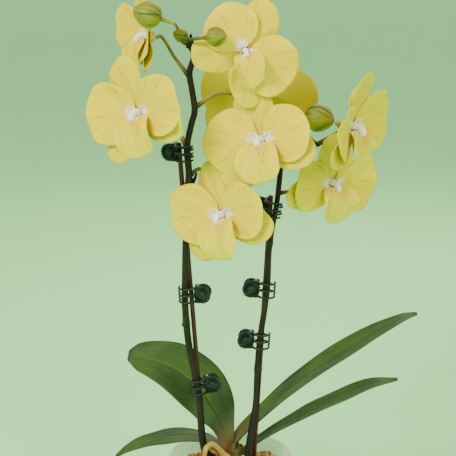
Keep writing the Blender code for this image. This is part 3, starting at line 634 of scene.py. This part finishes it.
def columnParts():
    # The column: a short thick stalk, flattened and broader at its tip, that bends down over the lip, with
    # a rounded anther cap in two halves.
    path = smoothCurve(points((0, 0.6, 1.8), (0, 0.8, 5.0), (0, 0.2, 7.4), (0, -1.6, 9.2)), 24)
    stalk = tube(path, smoothValues([2.5, 2.0, 2.2, 2.1], 24) * mm, 24, squash=0.84)
    cap = domed(oval(2.0, 1.7, 15), 24, lambda t, z: 1 - 0.16 * np.exp(-(np.sin(t) * 5) ** 2))
    cap = placed(cap, shift(0, -2.4, 9.6) @ Matrix.Rotation(0.9, 4, "X"))
    return [evenFlow(stalk, 0.0), evenFlow(cap, 0.0)]


def makeFlowers():
    shape = flowerShape
    for n, own in flowers.items():
        where = flowerMatrix(own["hub"], own["turn"]) @ Matrix.Scale(own["size"], 4)
        sepals = [
            fan(angle, 0.0, length=shape["sepalLength"], width=shape["sepalWidth"], foot=30, cup=own["cup"],
                lean=own["lean"], curl=1.0, sway=1.1, groove=0.8, seed=100 + 10 * n + i)
            for i, angle in enumerate(own["sepals"])]
        back = points((0, -2.6), (1.8, -2.4), (2.6, -1.2), (3.6, -0.1), (3.6, 0.5), (0, 0.8))
        petals = [
            fan(angle, shape["petalLift"], length=reach * shape["petalLength"],
                width=reach * shape["petalWidth"], foot=48, cup=own["cup"], lean=1.0, curl=0.6, sway=1.5,
                groove=0.45, seed=200 + 10 * n + i)
            for i, (angle, reach) in enumerate(zip(own["petals"], own["reach"]))]
        turn, size, roll = own["lip"]
        twist = turned(turn, "Z") @ Matrix.Scale(size, 4)
        lip = [placed(p, twist) for p in lipParts(300 + n, roll) + columnParts()]
        for kind, parts, finish, slotName in (
                ("sepals", sepals + [domed(back, 24, tint=1.0)], sepalSkin, "sepal"),
                ("petals", petals, petalSkin, "petal"),
                ("lip", lip, lipSkin, "lip")):
            addPiece(f"flower{n}{kind.title()}", [placed(p, where) for p in parts], finish,
                     [f"flower_{n}_{kind}"])


makeFlowers()
print("flowers made")

# Buds: middle in mm, the way the tip points, length and radius in mm.
buds = {
    1: ((-50.5, -30, 399.5), (-1, -0.1, 0.35), 18, 8.2),
    2: ((-32, -6, 386), (-0.8, -0.4, 0.4), 10.5, 4.4),
    3: ((-8.6, -32, 386.3), (0.9, -0.4, 0.1), 13, 6.0),
    4: ((58, 4, 332.5), (0.8, -0.6, -0.1), 21, 9.4),
}


def makeBuds():
    # An egg whose radius dips at the three seams where the folded sepals meet, and rises along their keels.
    for n, (at, way, length, radius) in buds.items():
        t = np.linspace(0, 1, 40)
        swell = np.sin(np.pi * t ** 0.85) ** 0.62 * (1 - 0.18 * t)
        profile = np.stack([swell / swell.max() * radius, (t - 0.5) * length], -1) * mm
        profile[0, 0] = profile[-1, 0] = 0

        def seamAt(turn, z):
            # 1 along the three seams, which twist a little from end to end, and near 0 between them.
            return np.exp(-(np.sin(1.5 * (turn + 0.8 * z / mm / length)) * 6) ** 2)

        egg = domed(profile, 96, lambda turn, z: (
            1 - 0.055 * seamAt(turn, z) + 0.02 * np.cos(3 * turn + np.pi) + 0.008 * np.cos(21 * turn)))
        turn, z = egg["flow"][:, 0] * 2 * np.pi, egg["flow"][:, 1]
        tip = np.clip((z / mm / length - 0.40) / 0.1, 0, 1)
        egg["tint"] = seamAt(turn, z) * (1 - tip) - tip
        addPiece(f"bud{n}", [placed(egg, aimed(at, way))], budSkin, [f"bud_{n}"])


makeBuds()
print("buds made")

# Flower stems: stations of x, y, z and radius in mm; then what they carry.
spikes = {
    "left": [
        (-12, 1.5, 91, 2.6), (-17.5, -2, 97, 2.6), (-19.8, -2.6, 107, 2.6), (-20.9, -2.2, 120, 2.5),
        (-22.3, -1.7, 140, 2.4), (-24.2, -1.6, 153, 2.4), (-28.9, -0.6, 178, 2.4), (-31.1, -0.2, 205, 2.3),
        (-30.8, -1.0, 228, 2.3), (-30.2, -1.8, 251, 2.2), (-28.9, -1.2, 275, 2.2), (-27.6, 0, 295, 2.3),
        (-28.7, 1, 311, 2.2), (-28.2, 1, 318, 2.1), (-25.8, 1, 329, 2.1), (-23.6, 0, 338, 2.1),
        (-25, 0, 350, 2.0),
        (-26.6, 0, 362, 2.0), (-23.9, 0, 373, 1.8), (-27, 0, 381, 1.5),
    ],
    "right": [
        (7.5, -5.5, 88, 2.6), (11.5, -5, 97, 2.6), (13.5, -3.5, 108, 2.5), (15.3, -2, 120, 2.4),
        (17.4, -1.4, 135, 2.2), (18.3, -1.2, 160, 2.1), (19.9, -1.2, 182, 2.1), (22.8, -1.2, 203, 2.1),
        (24.6, -1.1, 222, 2.1), (25.2, -1, 242, 2.0), (27, -0.8, 258, 1.9), (30.2, 1.2, 275, 1.8),
        (31.8, 3, 289, 1.8), (33.6, 7, 303, 1.7), (38, 13, 316, 1.6), (44, 15, 323, 1.5), (51, 14, 319, 1.4),
        (57.5, 11, 313.5, 1.3),
    ],
}
# Stalks: the spike each one leaves, its way out in mm and, for a bud, the length in mm that stays dark.
flowerStalks = {
    1: ("left", [(-27, 0, 360), (-36, 7, 371)]), 2: ("left", [(-28.5, 1, 313), (-36, 1, 326)]),
    3: ("left", [(-24, 0, 371), (-14, -1, 371)]), 4: ("left", [(-23.5, 0, 340), (-8, 8, 348)]),
    5: ("right", [(33.6, 7, 303), (33, 9, 310)]), 6: ("left", [(-27.6, 0, 295), (-18, 2, 298)]),
    7: ("right", [(57, 11, 314), (71, 8, 323.5)]), 8: ("right", [(31, 2.2, 283), (41, 7, 284)]),
}
budStalks = {
    1: ("left", [(-26.6, 0, 380), (-34, 1, 390)], 9), 2: ("left", [(-26.6, 0, 380)], 9),
    3: ("left", [(-27, 0, 380), (-30, -13, 382), (-26, -24, 384)], 60), 4: ("right", [(43, 15, 323)], 9),
}
# Bracts: foot in mm, the way each one points and its length in mm.
bracts = {
    "left": [((-31, -1.2, 193), (0.1, -0.8, 1), 9), ((-27.4, 0, 290), (0.7, 0.4, 1), 9),
             ((-26.6, 0, 378), (0.1, 0.3, 1), 9)],
    "right": [((26.4, -1, 250), (-0.6, -0.9, 1), 7), ((18.6, -1.2, 160), (0.2, -0.8, 1), 7)],
}


def stalkPart(start, end, way, radius, dark=9):
    # From the spike to just behind the flower, arriving the way it faces, widest where it joins the
    # flower. Its first stretch, dark mm long, keeps the stem's colour.
    start, end, way = points(*start), np.array(end) * mm, np.array(way)
    run = min(9 * mm, 0.4 * np.linalg.norm(end - start[-1]))
    tip = end - way * 0.6 * mm
    knots = np.vstack([start, [end - way * run, end - way * 0.5 * run, tip]])
    radii = smoothValues([radius * 1.5, *([radius] * (len(knots) - 3)), radius * 1.15, radius * 1.5], 48)
    part = tube(smoothCurve(knots, 48), radii * mm, 14,
                ripple=lambda s, t: 1 + 0.04 * np.cos(3 * t + 300 * s) + 0.03 * np.sin(2200 * s))
    return {**part, "tint": np.clip(part["flow"][:, 1] / (dark * mm), 0, 1) ** 2}


def bractPart(foot, way, length):
    # A pointed scale wrapped half round the stem: a leaf-shaped sheet bent across.
    u, v = sheet(14, 13)
    wide = 3.0 * (1 - u ** 1.6) ** 0.6 * (0.9 + 0.1 * u) + 0.05
    bend = v * 1.25 * (1 - 0.5 * u)
    grid = np.stack([wide * np.sin(bend), -wide * np.cos(bend) + 0.6 * u, u * length], -1) * mm
    part = shell(grid, 0.5 * mm, sheetFlow(u, v))
    return placed({**part, "tint": 0.03 + 0 * part["tint"]}, aimed(foot, way))


def makeSpikes():
    for side, stations in spikes.items():
        rows = np.array(stations, float)
        count = 12 * len(rows)
        path, radii = smoothCurve(rows[:, :3] * mm, count), smoothValues(rows[:, 3], count) * mm
        heights = path[:, 2] / mm
        for (_, _, ring), _, _ in bracts[side]:
            radii = radii * (1 + 0.16 * np.exp(-((heights - ring) / 2.2) ** 2))
        stem = tube(path, radii, 24, ripple=lambda s, t: (
            1 + 0.02 * np.cos(5 * t + 60 * s) + 0.012 * np.sin(900 * s)))
        parts = [stem] + [bractPart(*entry) for entry in bracts[side]]
        for n, (owner, start) in flowerStalks.items():
            if owner == side:
                where = flowerMatrix(flowers[n]["hub"], flowers[n]["turn"])
                way = where.to_3x3() @ Vector((0, 0, 1))
                parts.append(stalkPart(start, flowers[n]["hub"], way, 1.2))
        for n, (owner, start, dark) in budStalks.items():
            if owner == side:
                at, way, length, _ = buds[n]
                way = Vector(way).normalized()
                parts.append(stalkPart(start, Vector(at) - way * (0.5 * length - 0.4), way, 1.05, dark))
        addPiece(f"{side}Spike", parts, stemSkin, [f"spike_{side}"])


makeSpikes()
print("flower stems made")

# Stakes: foot and top in mm, and the coat's radius.
stakes = {
    "left": ((-13.6, 3, 20), (-33.9, 3, 312), 1.6),
    "right": ((12.7, 3, 20), (26.6, 3, 284), 1.6),
}


def makeStakes():
    for side, (foot, top, radius) in stakes.items():
        t = np.linspace(0, 1, 80)[:, None]
        path = points(foot) * (1 - t) + points(top) * t
        rod = tube(path[1:-1], radius * mm, 24,
                   ripple=lambda s, turn: 1 + 0.012 * np.cos(8 * turn) + 0.012 * np.sin(s * 260 + 2 * turn))
        addPiece(f"{side}Stake", [rod], stakeFinish, [f"stake_{side}"])


makeStakes()
print("stakes made")

# Leaves: stations of x, y, z and half width in mm, the way the blade's edge points, and how deeply it
# folds.
leaves = {
    1: ([(3.5, 6, 86, 5.5), (0.5, 8, 94, 5), (-3, 10, 100, 5.5), (-6, 16, 109, 9), (-12, 22, 120, 16),
         (-22, 28, 133, 20), (-38, 33, 145, 19), (-54, 36, 151, 15.5), (-67, 37.2, 153.6, 11),
         (-75, 38, 154.2, 4.0)], (0.52, 0.62, 0.58), 0.16),
    2: ([(3, 6, 86, 5), (-1, 8, 92.5, 4.6), (-7, 9, 96, 4.6), (-17, 14, 99.5, 6.5), (-31, 15, 101.5, 9),
         (-47, 13, 101.5, 9.5), (-62, 10, 99, 8), (-74, 7, 95, 5), (-82, 5, 90.5, 1.6)],
        (-0.1, 0.97, 0.1), 0.1),
    3: ([(2, 5, 86, 7.5), (3.5, 7.5, 95, 8.5), (6, 11, 102, 8.5), (16, 17, 111, 10.5), (34, 20, 127, 13),
         (55, 21, 144, 15.5), (78, 20, 161, 15), (100, 18, 177, 12), (118, 16, 189, 7.5),
         (130, 15, 194.5, 1.8)], (0.06, 0.97, 0.1), 0.22),
    4: ([(5, 6, 84, 6), (8.5, 8, 90.5, 6.5), (13, 10, 94.5, 6.5), (22, 12.5, 100.5, 6.5),
         (38, 11, 111.5, 10), (58, 8, 124, 12.5), (78, 4, 136, 12), (97, 0, 147, 8.5),
         (115, -3, 153, 2.0)], (0.2, 0.95, 0.04), 0.2),
}


def leafPart(stations, edgeWay, fold, seed):
    # Rows across the mid-rib. Each row rises towards its edges as the square of the way out, dips at the
    # mid-rib, and ripples slightly, and the blade is thickest at the mid-rib.
    rows = np.array(stations, float)
    count = 72
    spine, half = smoothCurve(rows[:, :3] * mm, count), np.maximum(smoothValues(rows[:, 3], count), 0.6) * mm
    along = unit(np.gradient(spine, axis=0))
    side = unit(np.array(edgeWay, float))
    across = unit(side - (along @ side)[:, None] * along)
    up = np.cross(along, across)
    up = up * np.sign(up[:, 2:].sum())
    u, v = sheet(count, 29)
    ripple = 0.035 * wave(9 * u + 1.5 * v, seed) * v ** 2 + 0.012 * wave(4 * v + 3 * u, seed + 3)
    rise = fold * v ** 2 + ripple - 0.05 * np.exp(-(v * 9) ** 2)
    out = v[..., None] * across[:, None] + rise[..., None] * up[:, None]
    grid = spine[:, None] + half[:, None, None] * out
    thick = 1.9 * mm * (0.30 + 0.70 * (1 - np.abs(v)) ** 0.7)
    part = shell(grid, thick, sheetFlow(u, v))
    upright = up[0, 2] > 0 and np.dot(np.cross(along[0], across[0]), up[0]) > 0
    return part if upright else {**part, "tint": 1 - part["tint"]}


def makeLeaves():
    for n, (stations, edgeWay, fold) in leaves.items():
        addPiece(f"leaf{n}", [leafPart(stations, edgeWay, fold, 40 + n)], leafSkin, [f"leaf_{n}"])


makeLeaves()
print("leaves made")

# Crown and its wrapped sheaths, all in mm.
crown = {"at": (4, 5), "radius": 8, "sheaths": 5}


def makeCrown():
    # A short stem, and sheaths that each wrap most of the way round it, their upper edges slanting.
    x, y = crown["at"]
    core = domed(points((0, 62), (4, 62.3), (7.4, 75), (7.2, 88), (5.4, 95), (3.4, 98.2), (0, 98.8)), 32,
                 lambda t, z: 1 + 0.03 * np.cos(7 * t))
    parts = [placed(core, shift(x, y, 0))]
    for i in range(crown["sheaths"]):
        u, v = sheet(20, 33)
        turn = v * math.radians(118) + i * math.radians(180) + 0.35 * i
        radius = crown["radius"] - 0.5 * i + 0.35 * np.sin(3 * turn) - 1.6 * u ** 2
        top = 86 + 3.2 * i + 2.6 * np.cos(v * 1.6)
        height = (70 + 2.0 * i) * (1 - u) + np.minimum(top, 98.4) * u
        grid = np.stack([x + radius * np.cos(turn), y + radius * np.sin(turn), height], -1) * mm
        part = shell(grid, 0.8 * mm, sheetFlow(0.05 * u, v))
        parts.append({**part, "tint": 0 * part["tint"]})
    stub = tube(smoothCurve(points((6, 0, 90), (8, -4.6, 94.5), (8.6, -8.4, 96.6)), 14), 1.8 * mm, 20,
                ripple=lambda s, t: 1 + 0.04 * np.cos(5 * t), rounded=0.15)
    stub["tint"] = 1.0 * (stub["flow"][:, 1] > 0.995 * stub["flow"][:, 1].max())
    addPiece("crownSheaths", parts + [stub], sheathSkin, ["crown"])


makeCrown()

# Aerial roots: points in mm and radius.
roots = {
    1: ([(0, -4.5, 93.5), (-5, -8, 99), (-10, -10.5, 106), (-14, -12, 108.5), (-17.5, -13.5, 105),
         (-18.5, -15, 96), (-19, -17, 84), (-19, -19, 74)], 1.75, 0.1),
    2: ([(21.5, -1.5, 86.5), (25, -1, 90), (30, 0, 88.5), (33.5, 1, 81), (34.5, 1, 70)], 1.8, 0.8),
    3: ([(-4.5, 9, 87), (-11, 15, 91.5), (-17, 21, 88), (-20.5, 24.5, 79), (-21, 25.5, 70)], 1.8, 0.4),
}


def makeRoots():
    for n, (route, radius, tint) in roots.items():
        path = smoothCurve(points(*route), 70)
        part = tube(path, radius * mm, 22, tint, ripple=lambda s, t: (
            1 + 0.07 * np.sin(330 * s + 1.2 * np.cos(t)) + 0.06 * np.sin(710 * s + 2 * np.sin(t))
            + 0.03 * np.cos(3 * t + 140 * s) + 0.012 * np.sin(1900 * s + 3 * np.sin(t))))
        addPiece(f"root{n}", [part], rootFinish, [f"root_{n}"])


makeRoots()
print("crown and roots made")

# Pot in mm.
pot = {"height": 92, "rim": 45, "base": 33, "lip": 2.4, "wall": 1.2, "floor": 2.0, "holes": 5,
       "holeRadius": 1.9, "holeCircle": 22, "ribs": 24}


def wallRadius(z):
    return pot["base"] + (pot["rim"] - pot["lip"] - pot["base"]) * z / pot["height"]


def potWall():
    # A thin tapered wall spun round: up its outside, over the rolled rim and down its inside. Shallow
    # upright ribs and two stacking steps are pressed into it.
    h, lip = pot["height"], pot["lip"]
    z = np.linspace(2.5, h - 2.2 * lip, 60)
    step = 0.35 * np.tanh((z - 58) / 0.8) + 0.25 * np.tanh((z - 16) / 0.8)
    outer = np.stack([wallRadius(z) + step - 0.6, z], -1)
    a = np.linspace(-0.5 * np.pi, np.pi, 22)
    roll = np.stack([pot["rim"] + 0.55 * lip * (np.cos(a) - 1), h + 0.75 * lip * (np.sin(a) - 1)], -1)
    inner = outer[::-1] - [pot["wall"], 0]
    foot = np.array([(-3.2, 1.2), (-2.6, 0.1), (-1.2, 0.1), (-0.5, 1.0)]) + [pot["base"], 0]
    profile = np.vstack([foot, outer, roll, [[pot["rim"] - lip - 0.4, h - 1.6 * lip]], inner,
                         [[pot["base"] - 2.2, 2.4]]]) * mm

    def ribs(turn, z):
        body = np.clip((z / mm - 4) / 6, 0, 1) * np.clip((h - 9 - z / mm) / 6, 0, 1)
        return 1 + 0.005 * body * np.tanh(3 * np.cos(pot["ribs"] * turn))

    return spun(profile, 240, ribs)


def potFloor():
    # Five floor sectors. Each is lofted from its drain hole's circle out to the sector's own edges, as far
    # as a ray at that angle runs before it meets one of the two radial edges or the outer circle.
    parts, wedge = [], math.pi / pot["holes"]
    outer, hole, at = pot["base"] - 1.6, pot["holeRadius"], pot["holeCircle"]
    corner = np.array([outer * math.cos(wedge) - at, outer * math.sin(wedge)])
    corners = np.array([math.atan2(corner[1], corner[0]), -math.atan2(corner[1], corner[0]), math.pi])
    phi = np.unique(np.round(np.concatenate([np.linspace(-np.pi, np.pi, 73)[1:], corners]), 6))
    c, s = np.cos(phi), np.sin(phi)
    circle = -at * c + np.sqrt(np.maximum(outer ** 2 - (at * s) ** 2, 0))
    with np.errstate(divide="ignore", invalid="ignore"):
        up = at * math.sin(wedge) / (s * math.cos(wedge) - c * math.sin(wedge))
        low = -at * math.sin(wedge) / (s * math.cos(wedge) + c * math.sin(wedge))
    up, low = np.where(up > 0, up, 1e9), np.where(low > 0, low, 1e9)
    reach = np.minimum(circle, np.minimum(up, low))
    t = np.linspace(0, 1, 9)[:, None]
    radius = hole * (1 - t) + reach * t
    for i in range(pot["holes"]):
        turn = 2 * math.pi * i / pot["holes"]
        px, py = at + radius * c, radius * s
        x, y = px * math.cos(turn) - py * math.sin(turn), px * math.sin(turn) + py * math.cos(turn)
        top = np.stack([x, y, np.full_like(x, pot["floor"])], -1)
        under = np.stack([x, y, np.full_like(x, 0.6)], -1)
        rows, cols = x.shape
        faces, size = gridFaces(rows, cols, True), rows * cols
        j = np.arange(cols)
        k = (j + 1) % cols
        inner = np.stack([j, k, k + size, j + size], -1)
        rim = np.stack([k, j, j + size, k + size], -1) + (rows - 1) * cols
        pts = np.concatenate([top.reshape(-1, 3), under.reshape(-1, 3)]) * mm
        parts.append(makePart(pts, np.vstack([faces, faces[:, ::-1] + size, inner, rim])))
    return parts


def makePot():
    addPiece("growingPot", [potWall()] + potFloor(), potFinish, ["pot"], sharp=50)


makePot()
print("pot made")

# Bark: how many pieces lie on top and against the wall, and their sizes in mm.
bark = {"top": 190, "wall": 460, "long": (4.5, 8.5), "wide": (3.0, 6.0), "deep": (1.6, 3.6), "bedTop": 83}


def chips(places, sizes, turns, seed):
    # Many rough chunks at once: a ball of six rings of nine points and two poles, pushed towards a box,
    # roughened, sized, turned and placed.
    rng = np.random.default_rng(seed)
    ball, quads, tris = pushedBall(6, 9, 0.55)
    count, size = len(places), len(ball)
    rough = 1 + 0.16 * rng.standard_normal((count, size, 1))
    local = ball * rough * sizes[:, None] * 0.5
    pts = np.einsum("nij,nkj->nki", turns, local) + places[:, None]
    base = (np.arange(count) * size)[:, None, None]
    tint = np.repeat(rng.uniform(0, 1, count) ** 2, size)
    quads, tris = (quads + base).reshape(-1, 4), (tris + base).reshape(-1, 3)
    return makePart(pts.reshape(-1, 3) * mm, quads, tris, tint=tint)


def turnsFor(yaw, tip, roll):
    # Rotation matrices from three angles: turned about the upright axis, then tipped, then rolled.
    cy, sy, ct, st, cr, sr = np.cos(yaw), np.sin(yaw), np.cos(tip), np.sin(tip), np.cos(roll), np.sin(roll)
    zero, one = np.zeros_like(cy), np.ones_like(cy)
    a = np.stack([cy, -sy, zero, sy, cy, zero, zero, zero, one], -1).reshape(-1, 3, 3)
    b = np.stack([ct, zero, st, zero, one, zero, -st, zero, ct], -1).reshape(-1, 3, 3)
    c = np.stack([one, zero, zero, zero, cr, -sr, zero, sr, cr], -1).reshape(-1, 3, 3)
    return a @ b @ c


def makeBark():
    rng = np.random.default_rng(11)
    inner = wallRadius(84) - pot["wall"] - 1.0
    core = domed([(0, 3.0), (wallRadius(3) - 7, 3.2), (wallRadius(80) - 7, 79), (26, 81.5), (0, 83.2)], 72,
                 wobble=lambda t, z: 1 + 0.01 * np.cos(11 * t + z / 6))
    core["points"] = core["points"] * mm
    count = bark["top"]
    r, turn = (inner - 4.2) * np.sqrt(rng.uniform(0.0, 1, count)), rng.uniform(0, 2 * np.pi, count)
    places = np.stack([r * np.cos(turn), r * np.sin(turn),
                       bark["bedTop"] + 1.0 - 2.0 * (r / inner) ** 2 + rng.uniform(-1.2, 1.0, count)], -1)
    keep = np.hypot(places[:, 0] - crown["at"][0], places[:, 1] - crown["at"][1]) > crown["radius"] + 1.5
    places = places[keep]
    count = len(places)
    sizes = np.stack([rng.uniform(*bark[k], count) for k in ("long", "wide", "deep")], -1)
    turns = turnsFor(rng.uniform(0, 6.28, count), rng.normal(0, 0.28, count), rng.normal(0, 0.28, count))
    top = chips(places, sizes, turns, 12)
    count = bark["wall"]
    z, turn = rng.uniform(6, 80, count), rng.uniform(0, 2 * np.pi, count)
    r = wallRadius(z) - pot["wall"] - 3.6 + rng.uniform(-0.8, 0.3, count)
    places = np.stack([r * np.cos(turn), r * np.sin(turn), z], -1)
    sizes = [rng.uniform(1.6, 3.2, count), rng.uniform(*bark["long"], count) + 1, rng.uniform(4, 8, count)]
    turns = turnsFor(turn, rng.normal(0, 0.12, count), rng.uniform(-1.2, 1.2, count))
    wall = chips(places, np.stack(sizes, -1), turns, 13)
    addPiece("barkMix", [core, top, wall], barkFinish, ["bark_bed"], sharp=35)


makeBark()
print("bark made")

# Spring clips: the stems' middle in mm, the side the pads are on, how far it is turned and tilted, in
# degrees.
clips = {
    1: ((-30.8, 1.8, 310), -1, -40, -1), 2: ((-29.3, 1.0, 213.5), 1, -4, -3),
    3: ((-22.9, 0.4, 147), 1, 8, -8),
    4: ((27.9, 1.7, 272.5), -1, -55, 8), 5: ((23.9, 0.9, 217), -1, -6, 3), 6: ((20.5, 0.9, 180.5), -1, -4, 3),
}
clipShape = {"reach": 6.9, "jaw": 5.1, "band": 1.6, "finger": 1.64, "tip": 1.32, "pitch": 4.7, "knuckle": 1.6,
             "split": 3.1, "half": 6.0, "pin": 0.84, "padMiddle": 3.2, "splay": 14, "scallops": 20}


def clipMatrix(n):
    # The hinge axis is the clip's own Z. A clip whose pads are on the left is turned over.
    stems, side, yaw, tilt = clips[n]
    turn = turned(tilt, "Y") @ turned(yaw, "Z")
    if side < 0:
        turn = turn @ turned(180, "Y")
    return shift(*stems) @ turn @ shift(clipShape["reach"], 0, 0)


def fingerPart(sign, height):
    # A rounded band bent round the stems from beside the hinge to their far side, thinner towards its ball
    # tip.
    s = clipShape
    turn = np.linspace(math.radians(20), math.radians(204), 40)
    radius = s["jaw"] + 0.5 * s["band"]
    path = np.stack([radius * np.cos(turn) - s["reach"], sign * radius * np.sin(turn),
                     np.full(len(turn), height)], -1) * mm
    return tube(path, 0.5 * np.linspace(s["finger"], s["tip"], len(turn)) * mm, 14, rounded=0.9)


def padPart(sign):
    # A round thumb pad: a disc whose rim is scalloped, with a rib out to each scallop, a ring and a raised
    # boss.
    s = clipShape
    r = np.array([0.0001, 0.7, 1.25, 1.5, 1.75, 2.0, 2.4, 3.0, 3.6, 4.2, 4.8, 5.2, 5.5, 5.75, 5.9])
    face = np.array([0.95, 0.93, 0.80, 0.55, 0.45, 0.45, 0.55, 0.62, 0.64, 0.64, 0.62, 0.58, 0.50,
                     0.36, 0.10])
    turn = np.linspace(0, 2 * np.pi, 160, endpoint=False)
    ribs = np.clip((r - 2.2) / 0.8, 0, 1)[:, None] * 0.34 * np.cos(s["scallops"] * turn)
    edge = 1 + 0.05 * np.clip((r - 3.5) / 2.4, 0, 1)[:, None] * np.cos(s["scallops"] * turn)
    x, y = r[:, None] * edge * np.cos(turn), r[:, None] * edge * np.sin(turn)
    outer = np.stack([x, y, face[:, None] + ribs], -1)
    inner = np.stack([x, y, np.full_like(x, -0.62)], -1)[::-1] * [0.985, 0.985, 1]
    grid = np.concatenate([outer, inner])
    part = makePart(grid * mm, gridFaces(len(grid), len(turn), True))
    at = shift(s["padMiddle"], sign * (s["knuckle"] + 2.2), 0)
    return placed(part, at @ turned(sign * s["splay"], "Z") @ turned(-sign * 90, "X"))


def clipHalf(front):
    # One half: its pad, the plate that carries it, its knuckles round the pin and its fingers.
    s = clipShape
    sign = -1 if front else 1
    near, far = s["knuckle"] + 0.3, s["knuckle"] + 1.5
    low, high = sorted((sign * near, sign * far))
    parts = [padPart(sign), block((-2.2, low, -s["half"]), (3.6, high, s["half"]))]
    inside = s["split"] - 0.3
    levels = [(s["split"], s["half"]), (-s["half"], -s["split"])] if front else [(-inside, inside)]
    for bottom, top in levels:
        inner, outer = sorted((sign * 0.9, sign * (near + 0.5)))
        parts.append(block((-1.2, inner, bottom), (1.2, outer, top), 8))
        ring = [(0.85, bottom + 0.15), (0.85, top - 0.15), (1.0, top), (1.4, top), (1.6, top - 0.2),
                (1.6, bottom + 0.2), (1.4, bottom), (1.0, bottom)]
        parts.append(spun(np.array(ring) * mm, 32))
    heights = (-s["pitch"], 0, s["pitch"]) if front else (-0.5 * s["pitch"], 0.5 * s["pitch"])
    return parts + [fingerPart(sign, height) for height in heights]


def wirePin():
    # The spring's wire: straight through the knuckles, with its two ends bent over flat.
    s = clipShape
    z = s["half"]
    path = smoothCurve(points((0.9, 0.0, -z - 0.1), (0.1, 0, -z + 0.1), (0, 0, -z + 1), (0, 0, 0),
                              (0, 0, z - 1), (0.1, 0, z - 0.1), (0.9, 0.0, z + 0.1)), 60)
    return [tube(path, 0.5 * s["pin"] * mm, 12)]


def makeClips():
    halves = {"front": clipHalf(True), "back": clipHalf(False)}
    pin = wirePin()
    for n in clips:
        place = clipMatrix(n)
        for half, parts in halves.items():
            body = f"clip_{n}_front" if half == "front" else rootBody
            addPiece(f"clip{n}{half.title()}", [placed(p, place) for p in parts], clipFinish,
                     [f"clip_{n}_{half}"], body, sharp=50)
        addPiece(f"clip{n}Wire", [placed(p, place) for p in pin], wireFinish, [f"clip_{n}_pin"])


makeClips()
print("clips made")


# Floor, light and camera

def makeStudio():
    floor = bpy.data.meshes.new("floor")
    corners = ((-60, -20), (60, -20), (60, 120), (-60, 120))
    floor.from_pydata([(*corner, -0.0002) for corner in corners], [], [(0, 1, 2, 3)])
    paint, shader = newMaterial("floorPaint", **{"Roughness": 0.9})
    shader.inputs["Base Color"].default_value = hexColour("#A6F2A0")
    floor.materials.append(paint)
    ground = bpy.data.objects.new("floor", floor)
    bpy.context.scene.collection.objects.link(ground)
    world = bpy.data.worlds.new("studio")
    world.use_nodes = True
    sky = world.node_tree.nodes["Background"]
    sky.inputs[0].default_value = hexColour("#E6F4E2")
    sky.inputs[1].default_value = 1.0
    bpy.context.scene.world = world
    lamps = {
        "keyLight": ((-0.75, -1.0, 1.15), 0.5, 26.0), "fillLight": ((0.75, -1.0, 0.8), 0.9, 9.0),
        "backLight": ((0.3, 0.9, 1.1), 0.8, 10.0),
    }
    for name, (at, size, power) in lamps.items():
        lamp = bpy.data.lights.new(name, "AREA")
        lamp.shape, lamp.size, lamp.energy, lamp.color = "DISK", size, power, (1.0, 0.94, 0.82)
        holder = bpy.data.objects.new(name, lamp)
        bpy.context.scene.collection.objects.link(holder)
        holder.location = at
        holder.rotation_euler = (Vector((0, 0, 0.24)) - Vector(at)).to_track_quat("-Z", "Y").to_euler()


def makeCamera():
    lens = bpy.data.cameras.new("camera")
    lens.lens, lens.sensor_width, lens.clip_start = 75.1, 36.0, 0.02
    camera = bpy.data.objects.new("camera", lens)
    bpy.context.scene.collection.objects.link(camera)
    camera.location = (-0.002, -0.6145, 0.413)
    camera.rotation_euler = (math.radians(76), 0, 0)
    bpy.context.scene.camera = camera


makeStudio()
makeCamera()
print("studio and camera made")
